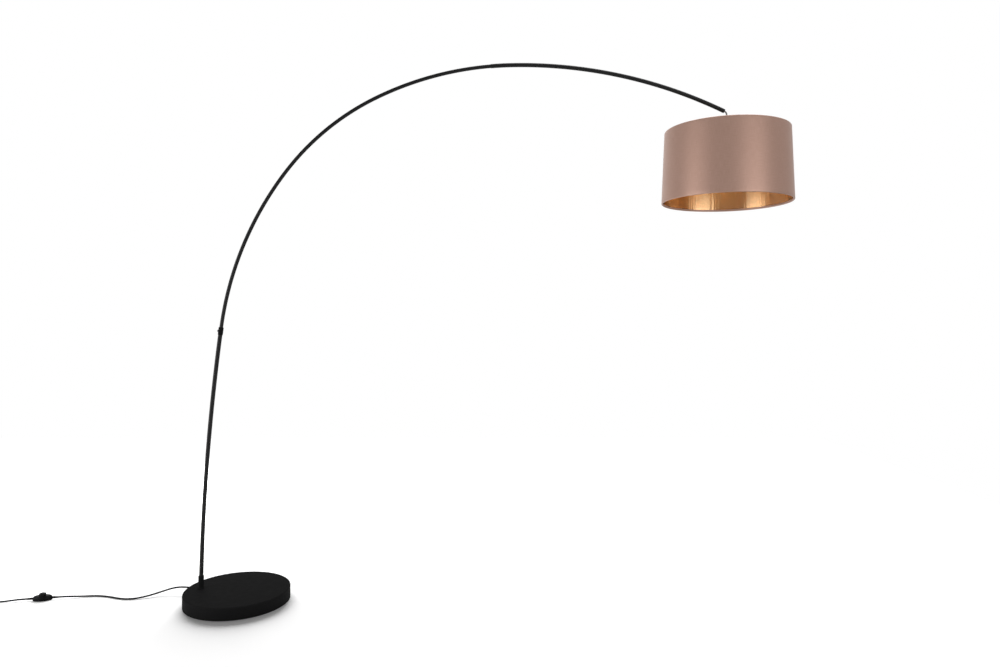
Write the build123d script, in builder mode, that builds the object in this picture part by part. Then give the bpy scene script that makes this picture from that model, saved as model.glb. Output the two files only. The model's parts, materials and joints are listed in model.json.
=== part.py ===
from build123d import *
import os
from math import atan2, cos, degrees, pi, radians, sin, sqrt, tan

# Arc floor lamp, millimetres. The origin is the middle of the round base on the floor,
# +X runs from the base to the hanging shade and +Z is up.

# Round weighted base
base_diameter = 400.0
base_height = 50.0
cover_wall = 1.5
cover_edge_radius = 4.0
felt_thickness = 2.0
felt_inset = 12.0
plate_thickness = 1.5
plate_gap = 0.3
ballast_inset = 9.0
plate_screw_diameter = 5.0
plate_screw_head = 9.0
plate_screw_length = 18.0
plate_screw_count = 4
plate_screw_circle = 260.0
plate_screw_bearing = 45.0

# Foot socket that holds the tube on the base
foot_inset = 57.0
foot_heading = 88.8
socket_diameter = 21.0
socket_length = 50.0
socket_flange_diameter = 26.0
socket_flange = 3.0
socket_edge_radius = 1.0
stud_diameter = 16.0
stud_bore = 9.0
stud_gap = 0.4
socket_gap = 0.3
washer_diameter = 34.0
washer_thickness = 2.0
nut_size = 24.0
nut_height = 8.0
nut_room = 3.0
nut_recess_depth = 26.0
stud_past_nut = 2.0

# Bent steel tubes, from the foot to the tip
outer_tube = 16.0
outer_tube_wall = 0.9
inner_tube = 14.0
inner_tube_wall = 1.0
slip_gap = 0.1
lower_radius = 9050.0
lower_turn = 6.5
rise_radius = 1290.0
rise_turn = 29.5
crown_radius = 995.0
crown_turn = 26.9
level_radius = 1267.0
level_turn = 24.5
reach_radius = 1837.0
reach_turn = 26.9
socket_overlap = 60.0
tip_overlap = 75.0

# Clamp collar and screws of the tube joints
collar_diameter = 19.0
collar_length = 30.0
collar_chamfer = 0.6
joint_screw = 5.0
joint_screw_head = 8.0
joint_screw_head_height = 3.0
joint_screw_head_edge = 0.8
grub_screw = 4.0
screw_gap = 0.15

# Tip bush and lamp cable
cable_diameter = 6.0
bush_depth = 16.0
bush_nose = 6.0
bush_gap = 0.2
tip_bend_radius = 14.0
cable_turn_radius = 8.0
cable_gap = 0.2
terminal_length = 24.0
terminal_width = 14.0
terminal_height = 12.0
terminal_corner = 2.0
terminal_tower_diameter = 5.8
terminal_tower_height = 3.5
terminal_distance = 44.0
base_lead_bend = 9.75
hanging_length = 25.24
ball_gap = 0.3

# Hanging shade
shade_bottom_diameter = 500.0
shade_top_diameter = 477.0
shade_height = 280.0
fabric_thickness = 0.8
lining_thickness = 0.5
ring_wire = 3.0
ring_gap = 0.3
spider_drop = 14.0
spider_arms = 3
spider_disc = 56.0
spider_disc_thickness = 1.2
spider_arm = 3.5
spider_arm_bend = 15.0
spider_arm_rise = 22.0
turn_gap = 0.15

# Lampholder and bulb
holder_skirt = 39.0
holder_bore = 27.6
holder_flange = 46.0
holder_flange_height = 3.0
holder_skirt_length = 36.0
holder_wall = 2.0
holder_skirt_chamfer = 0.8
holder_cap_height = 30.0
holder_cap_land = 1.0
holder_cap_overhang = 1.0
holder_cap_straight = 7.5
holder_cap_shoulder = 3.0
holder_cap_shoulder_drop = 9.4
holder_ring_height = 8.0
holder_ring_diameter = 54.0
holder_ring_edge = 1.0
insert_depth = 9.0
insert_block_length = 16.5
insert_block_width = 11.0
insert_block_height = 7.5
contact_length = 19.3
contact_width = 6.0
contact_button = 7.0
thread_gap = 0.3
grip_diameter = 14.0
grip_height = 20.0
grip_mouth = 4.0
grip_mouth_flare = 30.0
grip_lip = 0.6
grip_thread = 10.0
bulb_cap_diameter = 26.4
bulb_cap_length = 24.0
bulb_insulator_diameter = 17.6
bulb_insulator_height = 6.0
bulb_contact_root = 8.0
bulb_contact_top = 6.0
bulb_contact_height = 1.5
bulb_neck_gap = 0.4
bulb_diameter = 60.0
bulb_length = 84.0
bulb_glass_wall = 1.0

# Mains lead, foot switch, coil and plug
cord_diameter = 6.5
cord_straight = 32.0
cord_arc_share = 0.45
gland_bearing = 163.0
gland_height = 30.0
gland_length = 26.0
gland_root = 13.0
gland_tip = 9.0
gland_collar = 17.0
gland_collar_depth = 5.7
switch_length = 70.0
switch_width = 40.0
switch_height = 18.0
switch_split = 8.0
switch_wall = 2.0
switch_gap = 0.3
switch_waist_share = 0.93
switch_roof_share = 0.72
switch_roof_edge = 2.5
switch_foot_chamfer = 1.5
switch_boss = 7.0
switch_screw = 3.0
switch_screw_share = 0.5
switch_center = (-771.0, 12.0)
switch_heading = 191.0
button_diameter = 25.0
button_rise = 9.0
button_travel = 3.0
button_edge = 2.5
button_lug_reach = 1.5
button_lug_width = 5.0
button_lug_height = 1.2
spring_wire = 0.9
spring_diameter = 12.5
spring_turns = 4
contact_strip_length = 21.0
contact_strip_width = 4.0
contact_strip_spacing = 22.0
contact_strip_corner = 1.0
relief_length = 20.0
relief_root = 10.0
relief_tip = 8.0
relief_seat = 6.0
coil_center = (-1060.0, -70.0)
coil_outer_radius = 42.0
coil_step = 7.2
coil_layer = 7.0
coil_turns_each_layer = 2.5
coil_reversal = 0.5
coil_start_angle = 90.0
coil_samples_per_turn = 60
tie_width = 12.0
tie_thickness = 0.9
tie_gap = 0.3
tie_corner = 3.0
tail_reach = 76.0
tail_offset = 5.0
tail_straight = 20.0
tail_share = 0.6
plug_length = 36.0
plug_width = 35.0
plug_depth = 13.7
plug_throat = 14.0
plug_neck_length = 9.0
plug_neck_width = 17.4
plug_shoulder = 21.6
plug_corner = 2.5
plug_edge = 2.0
plug_relief = 24.0
pin_diameter = 4.0
pin_length = 19.0
pin_spacing = 18.6
pin_tip_flat = 0.3

os.makedirs("parts", exist_ok=True)
cord_radius = cord_diameter / 2
cable_radius = cable_diameter / 2


def keep(builder, name):
    builder.part.label = name
    export_step(builder.part, f"parts/{name}.step")


def bend_points(start, heading, bends):
    """Follow tangent bends in the lamp's upright plane and give where each one starts and ends."""
    stations = [(start[0], start[1], heading)]
    for radius, turn in bends:
        x, z, angle = stations[-1]
        middle_x = x + radius * sin(radians(angle))
        middle_z = z - radius * cos(radians(angle))
        angle -= turn
        x = middle_x - radius * sin(radians(angle))
        z = middle_z + radius * cos(radians(angle))
        stations.append((x, z, angle))
    return stations


def bent_wire(start, heading, bends):
    """One wire of tangent arcs in the lamp's upright plane."""
    stations = bend_points(start, heading, bends)
    with BuildLine(Plane.XZ) as wire:
        for (x, z, angle), (radius, turn) in zip(stations, bends):
            way = (cos(radians(angle)), sin(radians(angle)))
            JernArc(start=(x, z), tangent=way, radius=radius, arc_size=-turn)
    return wire.wires()[0]


def along(station, distance=0.0):
    """A plane square to the tube's centreline, a little further along it."""
    x, z, angle = station
    direction = Vector(cos(radians(angle)), 0, sin(radians(angle)))
    return Plane(origin=Vector(x, 0, z) + direction * distance, x_dir=(0, 1, 0), z_dir=direction)


def arc_degrees(length, radius):
    return degrees(length / radius)


# Where the tubes run
tube_bends = [
    (lower_radius, lower_turn),
    (rise_radius, rise_turn),
    (crown_radius, crown_turn),
    (level_radius, level_turn),
    (reach_radius, reach_turn),
]
foot_x = foot_inset - base_diameter / 2
foot_station = (foot_x, base_height, foot_heading)
stations = bend_points(foot_station[:2], foot_heading, tube_bends)
joint_station, level_end, tip_station = stations[1], stations[4], stations[5]
outer_tube_bore = outer_tube - 2 * outer_tube_wall

# The foot stud, from the cover down to the cable channel in the ballast
plate_top = felt_thickness + plate_thickness
washer_top = plate_top + nut_recess_depth
nut_top = washer_top - washer_thickness
stud_end_z = nut_top - nut_height - stud_past_nut

# The lamp cable runs up the stud, follows the tubes and bends down past the tip bush
lead_turn = 90 - foot_heading
lead_radius = (base_height - stud_end_z) / radians(lead_turn)
nose_turn = arc_degrees(bush_nose, reach_radius)
cable_bends = [(lead_radius, lead_turn), *tube_bends, (reach_radius, nose_turn)]
cable_start = (foot_x, stud_end_z)
nose_heading = bend_points(cable_start, 90, cable_bends)[-1][2]
cable_bends.append((tip_bend_radius, 90 + nose_heading))

# Where the lamp hangs
pendant_x, bend_end_z = bend_points(cable_start, 90, cable_bends)[-1][:2]
swing_z = bend_end_z - cable_radius - ball_gap
tilt_z = swing_z - hanging_length
grip_top = tilt_z + grip_mouth
holder_cap_top = grip_top - grip_height
cap_z = holder_cap_top - holder_cap_height
flange_z = cap_z - holder_flange_height
spider_z = flange_z - turn_gap - spider_disc_thickness
shade_top_z = spider_z + spider_drop
shade_bottom_z = shade_top_z - shade_height
print("pendant x %.2f, cable swings at z %.2f, shade tilts at z %.2f" % (pendant_x, swing_z, tilt_z))

# Steel cover drawn from one disc, open below
gland_out = Vector(cos(radians(gland_bearing)), sin(radians(gland_bearing)), 0)
gland_seat = gland_out * (base_diameter / 2 - cover_wall) + Vector(0, 0, gland_height)
gland_plane = Plane(origin=gland_seat, x_dir=(0, 0, 1), z_dir=gland_out)
cover_height = base_height - felt_thickness
with BuildPart() as base_cover:
    with BuildSketch(Plane.XY.offset(felt_thickness)):
        Circle(base_diameter / 2)
    extrude(amount=cover_height)
    fillet(base_cover.edges().group_by(Axis.Z)[-1], radius=cover_edge_radius)
    offset(amount=-cover_wall, openings=base_cover.faces().sort_by(Axis.Z)[0])
    with BuildSketch(Plane.XY.offset(base_height)):
        with Locations((foot_x, 0)):
            Circle(stud_diameter / 2 + stud_gap)
    extrude(amount=-2 * cover_wall, mode=Mode.SUBTRACT)
    with BuildSketch(gland_plane.offset(-2 * cover_wall)):
        Circle(gland_root / 2)
    extrude(amount=5 * cover_wall, mode=Mode.SUBTRACT)
keep(base_cover, "base_cover")

# Cast ballast with a channel below for the cable and the foot nut
ballast_top = base_height - cover_wall
ballast_radius = base_diameter / 2 - ballast_inset
channel_top = gland_height + gland_collar / 2 + nut_room
channel_bearing = degrees(atan2(gland_seat.Y, gland_seat.X - foot_x))
channel_width = gland_collar + 2 * nut_room
channel_length = sqrt((gland_seat.X - foot_x) ** 2 + gland_seat.Y ** 2)
with BuildPart() as ballast:
    with BuildSketch(Plane.XY.offset(plate_top)):
        Circle(ballast_radius)
    extrude(amount=ballast_top - plate_top)
    with BuildSketch(Plane.XY.offset(plate_top)):
        with Locations((foot_x, 0)):
            Circle(stud_diameter / 2 + stud_gap)
    extrude(amount=base_height, mode=Mode.SUBTRACT)
    with BuildSketch(Plane.XY.offset(plate_top)):
        with Locations((foot_x, 0)):
            Circle(washer_diameter / 2 + nut_room)
    extrude(amount=nut_recess_depth, mode=Mode.SUBTRACT)
    with BuildSketch(Plane.XY.offset(plate_top)):
        with Locations(Location((foot_x, 0), channel_bearing)):
            Rectangle(channel_length, channel_width, align=(Align.MIN, Align.CENTER))
    extrude(amount=nut_recess_depth, mode=Mode.SUBTRACT)
    with BuildSketch(Plane.XY.offset(plate_top)):
        with Locations(Location((gland_seat.X, gland_seat.Y), gland_bearing)):
            Rectangle(2 * gland_length, channel_width)
    extrude(amount=channel_top - plate_top, mode=Mode.SUBTRACT)
    with BuildSketch(Plane.XY.offset(plate_top)):
        with PolarLocations(plate_screw_circle / 2, plate_screw_count, start_angle=plate_screw_bearing):
            Circle(plate_screw_diameter / 2 + screw_gap)
    extrude(amount=plate_screw_length, mode=Mode.SUBTRACT)
keep(ballast, "ballast")

# Closing plate, its countersunk screws and the felt that the lamp stands on
plate_radius = base_diameter / 2 - cover_wall - plate_gap
with BuildPart() as base_plate:
    with BuildSketch(Plane.XY.offset(felt_thickness)):
        Circle(plate_radius)
        with PolarLocations(plate_screw_circle / 2, plate_screw_count, start_angle=plate_screw_bearing):
            Circle(plate_screw_diameter / 2 + screw_gap, mode=Mode.SUBTRACT)
    extrude(amount=plate_thickness)
keep(base_plate, "base_plate")

screw_head_height = felt_thickness / 2
with BuildPart() as plate_screws:
    with BuildSketch(Plane.XY.offset(felt_thickness)):
        with PolarLocations(plate_screw_circle / 2, plate_screw_count, start_angle=plate_screw_bearing):
            Circle(plate_screw_head / 2)
    extrude(amount=-screw_head_height)
    with BuildSketch(Plane.XY.offset(felt_thickness)):
        with PolarLocations(plate_screw_circle / 2, plate_screw_count, start_angle=plate_screw_bearing):
            Circle(plate_screw_diameter / 2)
    extrude(amount=plate_screw_length - plate_screw_diameter)
keep(plate_screws, "base_plate_screws")

with BuildPart() as felt_pad:
    with BuildSketch():
        Circle(base_diameter / 2 - felt_inset)
        with PolarLocations(plate_screw_circle / 2, plate_screw_count, start_angle=plate_screw_bearing):
            Circle(plate_screw_head / 2 + plate_gap, mode=Mode.SUBTRACT)
    extrude(amount=felt_thickness)
keep(felt_pad, "felt_pad")

# Turned foot socket with a hollow stud, held under the ballast by a washer and a nut
socket_plane = along(foot_station)
foot_grub = (foot_x + tan(radians(lead_turn)) * socket_length / 2, base_height + socket_length / 2)
with BuildPart() as foot_socket:
    with BuildSketch(Plane.XY.offset(base_height)):
        with Locations((foot_x, 0)):
            Circle(socket_flange_diameter / 2)
    extrude(amount=socket_flange)
    with BuildSketch(socket_plane.offset(socket_flange / 2)):
        Circle(socket_diameter / 2)
    extrude(amount=socket_length - socket_flange / 2)
    fillet(foot_socket.edges().group_by(Axis.Z)[-1], radius=socket_edge_radius)
    with BuildSketch(Plane.XY.offset(base_height)):
        with Locations((foot_x, 0)):
            Circle(stud_diameter / 2)
    extrude(amount=stud_end_z - base_height)
    with BuildSketch(socket_plane.offset(socket_flange)):
        Circle(outer_tube / 2 + socket_gap)
    extrude(amount=socket_length, mode=Mode.SUBTRACT)
    with BuildSketch(Plane.XY.offset(stud_end_z)):
        with Locations((foot_x, 0)):
            Circle(stud_bore / 2)
    extrude(amount=base_height + 2 * socket_flange - stud_end_z, mode=Mode.SUBTRACT)
    with BuildSketch(Plane.XZ):
        with Locations(foot_grub):
            Circle(grub_screw / 2 + screw_gap)
    extrude(amount=-socket_diameter, mode=Mode.SUBTRACT)
keep(foot_socket, "foot_socket")

with BuildPart() as foot_washer:
    with BuildSketch(Plane.XY.offset(washer_top)):
        with Locations((foot_x, 0)):
            Circle(washer_diameter / 2)
            Circle(stud_diameter / 2 + stud_gap, mode=Mode.SUBTRACT)
    extrude(amount=-washer_thickness)
keep(foot_washer, "foot_washer")

with BuildPart() as foot_nut:
    with BuildSketch(Plane.XY.offset(nut_top)):
        with Locations((foot_x, 0)):
            RegularPolygon(nut_size / 2, 6, major_radius=False)
            Circle(stud_diameter / 2 + screw_gap, mode=Mode.SUBTRACT)
    extrude(amount=-nut_height)
keep(foot_nut, "foot_nut")

with BuildPart() as foot_screw:
    with BuildSketch(Plane.XZ.offset(-outer_tube / 2 - slip_gap)):
        with Locations(foot_grub):
            Circle(grub_screw / 2)
    extrude(amount=outer_tube / 2 + slip_gap - socket_diameter / 2)
keep(foot_screw, "foot_grub_screw")


def ring_at(wire, diameter, bore=0.0):
    """A round section, hollow if it has a bore, square to the start of a wire."""
    with BuildSketch(Plane(origin=wire @ 0, z_dir=wire % 0)) as section:
        Circle(diameter / 2)
        if bore:
            Circle(bore / 2, mode=Mode.SUBTRACT)
    return section.sketch


def outward(station, back):
    """A plane on the outside of the bend, a distance back from a station, looking away from the tube."""
    x, z, angle = station
    direction = Vector(-sin(radians(angle)), 0, cos(radians(angle)))
    return Plane(origin=along(station, -back).origin, x_dir=(0, 1, 0), z_dir=direction)


# Lower tube, in the socket at its foot and drilled for the clamp screw at its head
seat_turn = arc_degrees(socket_flange + slip_gap, lower_radius)
lower_start = bend_points(foot_station[:2], foot_heading, [(lower_radius, seat_turn)])[-1]
lower_wire = bent_wire(lower_start[:2], lower_start[2], [(lower_radius, lower_turn - seat_turn)])
clamp_plane = outward(joint_station, collar_length / 2)
with BuildPart() as lower_tube:
    sweep(ring_at(lower_wire, outer_tube, outer_tube_bore), path=lower_wire)
    with BuildSketch(clamp_plane):
        Circle(joint_screw / 2 + screw_gap)
    extrude(amount=outer_tube, mode=Mode.SUBTRACT)
keep(lower_tube, "lower_tube")

with BuildPart() as joint_collar:
    with BuildSketch(along(joint_station, -collar_length)):
        Circle(collar_diameter / 2)
        Circle(outer_tube / 2 + slip_gap, mode=Mode.SUBTRACT)
    extrude(amount=collar_length)
    collar_rims = joint_collar.edges().filter_by(GeomType.CIRCLE).group_by(SortBy.RADIUS)[-1]
    chamfer(collar_rims, length=collar_chamfer)
    with BuildSketch(clamp_plane):
        Circle(joint_screw / 2 + screw_gap)
    extrude(amount=collar_diameter, mode=Mode.SUBTRACT)
keep(joint_collar, "joint_collar")

with BuildPart() as clamp_screw:
    with BuildSketch(clamp_plane.offset(inner_tube / 2 + slip_gap)):
        Circle(joint_screw / 2)
    extrude(amount=collar_diameter / 2 - inner_tube / 2)
    with BuildSketch(clamp_plane.offset(collar_diameter / 2 + slip_gap)):
        Circle(joint_screw_head / 2)
    extrude(amount=joint_screw_head_height)
    head_rim = clamp_screw.edges().filter_by(GeomType.CIRCLE).sort_by(SortBy.RADIUS)[-1]
    fillet(head_rim, radius=joint_screw_head_edge)
keep(clamp_screw, "joint_clamp_screw")

# Middle tube, slipped into the lower tube and into the end tube
middle_turn = arc_degrees(socket_overlap, lower_radius)
middle_start = bend_points(foot_station[:2], foot_heading, [(lower_radius, lower_turn - middle_turn)])[-1]
middle_wire = bent_wire(middle_start[:2], middle_start[2], [(lower_radius, middle_turn), *tube_bends[1:4]])
with BuildPart() as middle_tube:
    sweep(ring_at(middle_wire, inner_tube, inner_tube - 2 * inner_tube_wall), path=middle_wire)
keep(middle_tube, "middle_tube")

# End tube, held on the middle tube by a grub screw from below
end_turn = arc_degrees(tip_overlap, level_radius)
end_start = bend_points(stations[3][:2], stations[3][2], [(level_radius, level_turn - end_turn)])[-1]
end_wire = bent_wire(end_start[:2], end_start[2], [(level_radius, end_turn), (reach_radius, reach_turn)])
grub_plane = outward(level_end, tip_overlap / 2)
with BuildPart() as end_tube:
    sweep(ring_at(end_wire, outer_tube, outer_tube_bore), path=end_wire)
    with BuildSketch(grub_plane):
        Circle(grub_screw / 2 + screw_gap)
    extrude(amount=-outer_tube, mode=Mode.SUBTRACT)
keep(end_tube, "end_tube")

with BuildPart() as end_screw:
    with BuildSketch(grub_plane.offset(-outer_tube / 2 - slip_gap)):
        Circle(grub_screw / 2)
    extrude(amount=outer_tube / 2 - inner_tube / 2)
keep(end_screw, "end_tube_grub_screw")

# Bush in the tube's tip that guides the cable out
bush_plane = along(tip_station)
with BuildPart() as tip_bush:
    with BuildSketch(bush_plane.offset(-bush_depth)):
        Circle(outer_tube_bore / 2 - slip_gap)
    extrude(amount=bush_depth)
    with BuildSketch(bush_plane):
        Circle(outer_tube / 2)
    extrude(amount=bush_nose)
    bush_axis = Axis(bush_plane.origin, bush_plane.z_dir)
    fillet(tip_bush.faces().sort_by(bush_axis)[-1].edges(), radius=bush_nose / 2)
    with BuildSketch(bush_plane.offset(-bush_depth)):
        Circle(cable_radius + cable_gap + bush_gap)
    extrude(amount=bush_depth + bush_nose, mode=Mode.SUBTRACT)
keep(tip_bush, "tip_bush")

# Rubber gland in the cover's side wall, tapered so that the lead can't kink
gland_bore = cord_radius + cable_gap / 2
gland_section = Plane(origin=gland_seat, x_dir=(0, 0, 1), z_dir=Vector(0, 0, 1).cross(gland_out))
with BuildPart() as cord_gland:
    with BuildSketch(gland_section):
        with BuildLine():
            Polyline(
                (gland_bore, -gland_collar_depth),
                (gland_collar / 2, -gland_collar_depth),
                (gland_collar / 2, -ball_gap),
                (gland_root / 2 - cable_gap, -ball_gap),
                (gland_root / 2 - cable_gap, cover_wall + slip_gap),
                (gland_collar / 2, cover_wall + slip_gap),
                (gland_collar / 2, 2 * cover_wall + slip_gap),
                (gland_root / 2, 3 * cover_wall),
                (gland_tip / 2, gland_length),
                (gland_bore, gland_length),
                close=True,
            )
        make_face()
    revolve(axis=Axis(gland_seat, gland_out))
keep(cord_gland, "cord_gland")

# Terminal block in the channel, where the mains lead meets the lamp cable
channel_out = Vector(cos(radians(channel_bearing)), sin(radians(channel_bearing)), 0)
terminal_floor = Vector(foot_x, 0, plate_top) + channel_out * terminal_distance
terminal_plane = Plane(origin=terminal_floor, x_dir=channel_out, z_dir=(0, 0, 1))
terminal_deck = terminal_height - terminal_tower_height
with BuildPart() as terminal_block:
    with BuildSketch(terminal_plane):
        RectangleRounded(terminal_length, terminal_width, terminal_corner)
    extrude(amount=terminal_deck)
    with BuildSketch(terminal_plane.offset(terminal_deck)):
        with GridLocations(terminal_length / 2, terminal_width / 2, 2, 2):
            Circle(terminal_tower_diameter / 2)
    extrude(amount=terminal_tower_height)
keep(terminal_block, "terminal_block")

# Lamp cable, from the terminal block through the stud and the tubes to the tip
turn_low = Vector(foot_x, 0, stud_end_z - cable_turn_radius)
terminal_side = turn_low + channel_out * (terminal_distance - terminal_length / 2 - cable_gap)
with BuildLine() as cable_line:
    Line(terminal_side, turn_low + channel_out * cable_turn_radius)
    TangentArc(
        turn_low + channel_out * cable_turn_radius,
        Vector(foot_x, 0, stud_end_z),
        tangent=-channel_out,
    )
    add(bent_wire(cable_start, 90, cable_bends).edges())
cable_wire = cable_line.wires()[0]
with BuildPart() as arm_cable:
    sweep(ring_at(cable_wire, cable_diameter), path=cable_wire)
keep(arm_cable, "arm_cable")
print("arm cable: volume over section times length %.4f"
      % (arm_cable.part.volume / (pi * cable_radius**2 * cable_wire.length)))

# Mains lead inside the base, from the terminal block out through the gland
gland_mouth = gland_seat + gland_out * gland_length
lead_corner = gland_seat - gland_out * (gland_collar - cable_gap)
lead_rise = terminal_floor + Vector(0, 0, terminal_height + terminal_tower_height / 2)
with BuildLine() as base_lead_line:
    FilletPolyline(lead_rise, lead_corner, gland_mouth, radius=base_lead_bend)
base_lead_wire = base_lead_line.wires()[0]
with BuildPart() as base_lead:
    sweep(ring_at(base_lead_wire, cord_diameter), path=base_lead_wire)
keep(base_lead, "base_lead")

# Hanging cable with rounded ends, so that it swings at the tip and carries the tilting holder
hang_axis = Axis((pendant_x, 0, 0), (0, 0, 1))
hang_section = Plane(origin=(pendant_x, 0, 0), x_dir=(1, 0, 0), z_dir=(0, -1, 0))
with BuildPart() as pendant_cable:
    with BuildSketch(hang_section):
        with BuildLine():
            RadiusArc((0, swing_z + cable_radius), (cable_radius, swing_z), cable_radius)
            Line((cable_radius, swing_z), (cable_radius, tilt_z))
            RadiusArc((cable_radius, tilt_z), (0, tilt_z - cable_radius), cable_radius)
            Line((0, tilt_z - cable_radius), (0, swing_z + cable_radius))
        make_face()
    revolve(axis=hang_axis)
keep(pendant_cable, "pendant_cable")

# Cord grip on the lampholder, with a flared mouth round the cable's end
seat_radius = cable_radius + ball_gap
mouth_radius = seat_radius + grip_mouth * tan(radians(grip_mouth_flare))
neck_radius = grip_thread / 2
with BuildPart() as cord_grip:
    with BuildSketch(hang_section):
        with BuildLine():
            Polyline(
                (0, tilt_z - seat_radius),
                (0, holder_cap_top - grip_mouth),
                (neck_radius, holder_cap_top - grip_mouth),
                (neck_radius, holder_cap_top),
                (grip_diameter / 2, holder_cap_top),
                (grip_diameter / 2, grip_top - grip_mouth),
                (mouth_radius + grip_lip, grip_top),
                (mouth_radius, grip_top),
                (seat_radius, tilt_z),
            )
            RadiusArc((seat_radius, tilt_z), (0, tilt_z - seat_radius), seat_radius)
        make_face()
    revolve(axis=hang_axis)
keep(cord_grip, "cord_grip")

# Domed cap of the lampholder
cap_bore = neck_radius + slip_gap
cap_crown = grip_diameter / 2 + holder_cap_land
cap_outside = holder_skirt / 2 + holder_cap_overhang
cap_inside = holder_skirt / 2 - holder_wall
cap_shoulder = holder_skirt / 2 - holder_cap_shoulder
cap_shoulder_z = holder_cap_top - holder_cap_shoulder_drop
cap_straight_z = cap_z + holder_cap_straight
with BuildPart() as holder_cap:
    with BuildSketch(hang_section):
        with BuildLine():
            Line((cap_bore, holder_cap_top), (cap_crown, holder_cap_top))
            ThreePointArc(
                (cap_crown, holder_cap_top),
                (cap_shoulder, cap_shoulder_z),
                (cap_outside, cap_straight_z),
            )
            Polyline(
                (cap_outside, cap_straight_z),
                (cap_outside, cap_z),
                (cap_inside, cap_z),
                (cap_inside, cap_straight_z),
            )
            ThreePointArc(
                (cap_inside, cap_straight_z),
                (cap_shoulder - holder_wall, cap_shoulder_z - holder_wall),
                (cap_bore, holder_cap_top - holder_wall),
            )
            Line((cap_bore, holder_cap_top - holder_wall), (cap_bore, holder_cap_top))
        make_face()
    revolve(axis=hang_axis)
keep(holder_cap, "holder_cap")

# Lampholder body: flange on the spider, skirt below it and the bulb's bore
skirt_z = flange_z - holder_skirt_length
insert_z = flange_z - insert_depth
with BuildPart() as holder_body:
    with BuildSketch(Plane(origin=(pendant_x, 0, skirt_z))):
        Circle(holder_skirt / 2)
    extrude(amount=holder_skirt_length)
    with BuildSketch(Plane(origin=(pendant_x, 0, flange_z))):
        Circle(holder_flange / 2)
    extrude(amount=holder_flange_height)
    with BuildSketch(Plane(origin=(pendant_x, 0, skirt_z))):
        Circle(holder_bore / 2)
    extrude(amount=holder_skirt_length + holder_flange_height, mode=Mode.SUBTRACT)
    chamfer(holder_body.edges().group_by(Axis.Z)[0], length=holder_skirt_chamfer)
keep(holder_body, "holder_body")

with BuildPart() as holder_insert:
    with BuildSketch(Plane(origin=(pendant_x, 0, insert_z))):
        Circle(holder_bore / 2 - slip_gap)
    extrude(amount=cap_z - insert_z)
    with BuildSketch(Plane(origin=(pendant_x, 0, cap_z))):
        Rectangle(insert_block_length, insert_block_width)
    extrude(amount=insert_block_height)
keep(holder_insert, "holder_insert")

bulb_top_z = skirt_z + bulb_cap_length
contact_drop = (insert_z - bulb_top_z) / 2
with BuildPart() as contact_tongue:
    with BuildSketch(Plane(origin=(pendant_x, 0, insert_z))):
        SlotOverall(contact_length, contact_width)
    extrude(amount=-contact_drop)
    with BuildSketch(Plane(origin=(pendant_x, 0, insert_z - contact_drop))):
        Circle(contact_button / 2)
    extrude(amount=slip_gap - contact_drop)
keep(contact_tongue, "holder_contact")

with BuildPart() as shade_clamp_ring:
    with BuildSketch(Plane(origin=(pendant_x, 0, spider_z - turn_gap))):
        Circle(holder_ring_diameter / 2)
        Circle(holder_skirt / 2 + thread_gap, mode=Mode.SUBTRACT)
    extrude(amount=-holder_ring_height)
    ring_rims = shade_clamp_ring.edges().filter_by(GeomType.CIRCLE).group_by(SortBy.RADIUS)[-1]
    fillet(ring_rims, radius=holder_ring_edge)
keep(shade_clamp_ring, "shade_clamp_ring")

# Opal bulb in its screw cap
bulb_neck = bulb_cap_diameter / 2 - bulb_neck_gap
bulb_flare = bulb_diameter / 2
globe_z = skirt_z - bulb_length + bulb_diameter / 2
flare_rise = sqrt((bulb_diameter / 2 + bulb_flare) ** 2 - (bulb_neck + bulb_flare) ** 2)
meet = Vector(bulb_neck + bulb_flare, flare_rise) * (bulb_diameter / 2 / (bulb_diameter / 2 + bulb_flare))
with BuildPart() as bulb_globe:
    with BuildSketch(hang_section):
        with BuildLine():
            Line((0, skirt_z), (bulb_neck, skirt_z))
            Line((bulb_neck, skirt_z), (bulb_neck, globe_z + flare_rise))
            RadiusArc((bulb_neck, globe_z + flare_rise), (meet.X, globe_z + meet.Y), -bulb_flare)
            RadiusArc((meet.X, globe_z + meet.Y), (0, globe_z - bulb_diameter / 2), bulb_diameter / 2)
            Line((0, globe_z - bulb_diameter / 2), (0, skirt_z))
        make_face()
    revolve(axis=hang_axis)
    offset(amount=-bulb_glass_wall, openings=bulb_globe.faces().sort_by(Axis.Z)[-1])
keep(bulb_globe, "bulb_globe")

bulb_contact_z = bulb_top_z - bulb_contact_height
with BuildPart() as bulb_cap:
    with BuildSketch(hang_section):
        with BuildLine():
            Polyline(
                (0, skirt_z),
                (bulb_cap_diameter / 2, skirt_z),
                (bulb_cap_diameter / 2, bulb_top_z - bulb_insulator_height),
                (bulb_insulator_diameter / 2, bulb_contact_z),
                (bulb_contact_root / 2, bulb_contact_z),
                (bulb_contact_top / 2, bulb_top_z),
                (0, bulb_top_z),
                close=True,
            )
        make_face()
    revolve(axis=hang_axis)
keep(bulb_cap, "bulb_cap")


def shade_radius(z, inset=0.0):
    """Radius of the drum's outside at a height, less an inset."""
    share = (z - shade_bottom_z) / shade_height
    return (shade_bottom_diameter * (1 - share) + shade_top_diameter * share) / 2 - inset


def drum(outside, inside):
    """Sloping wall of the drum between two insets, as a section to revolve."""
    with BuildSketch(hang_section) as wall:
        with BuildLine():
            Polyline(
                (shade_radius(shade_bottom_z, outside), shade_bottom_z),
                (shade_radius(shade_top_z, outside), shade_top_z),
                (shade_radius(shade_top_z, inside), shade_top_z),
                (shade_radius(shade_bottom_z, inside), shade_bottom_z),
                close=True,
            )
        make_face()
    return wall.sketch


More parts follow.
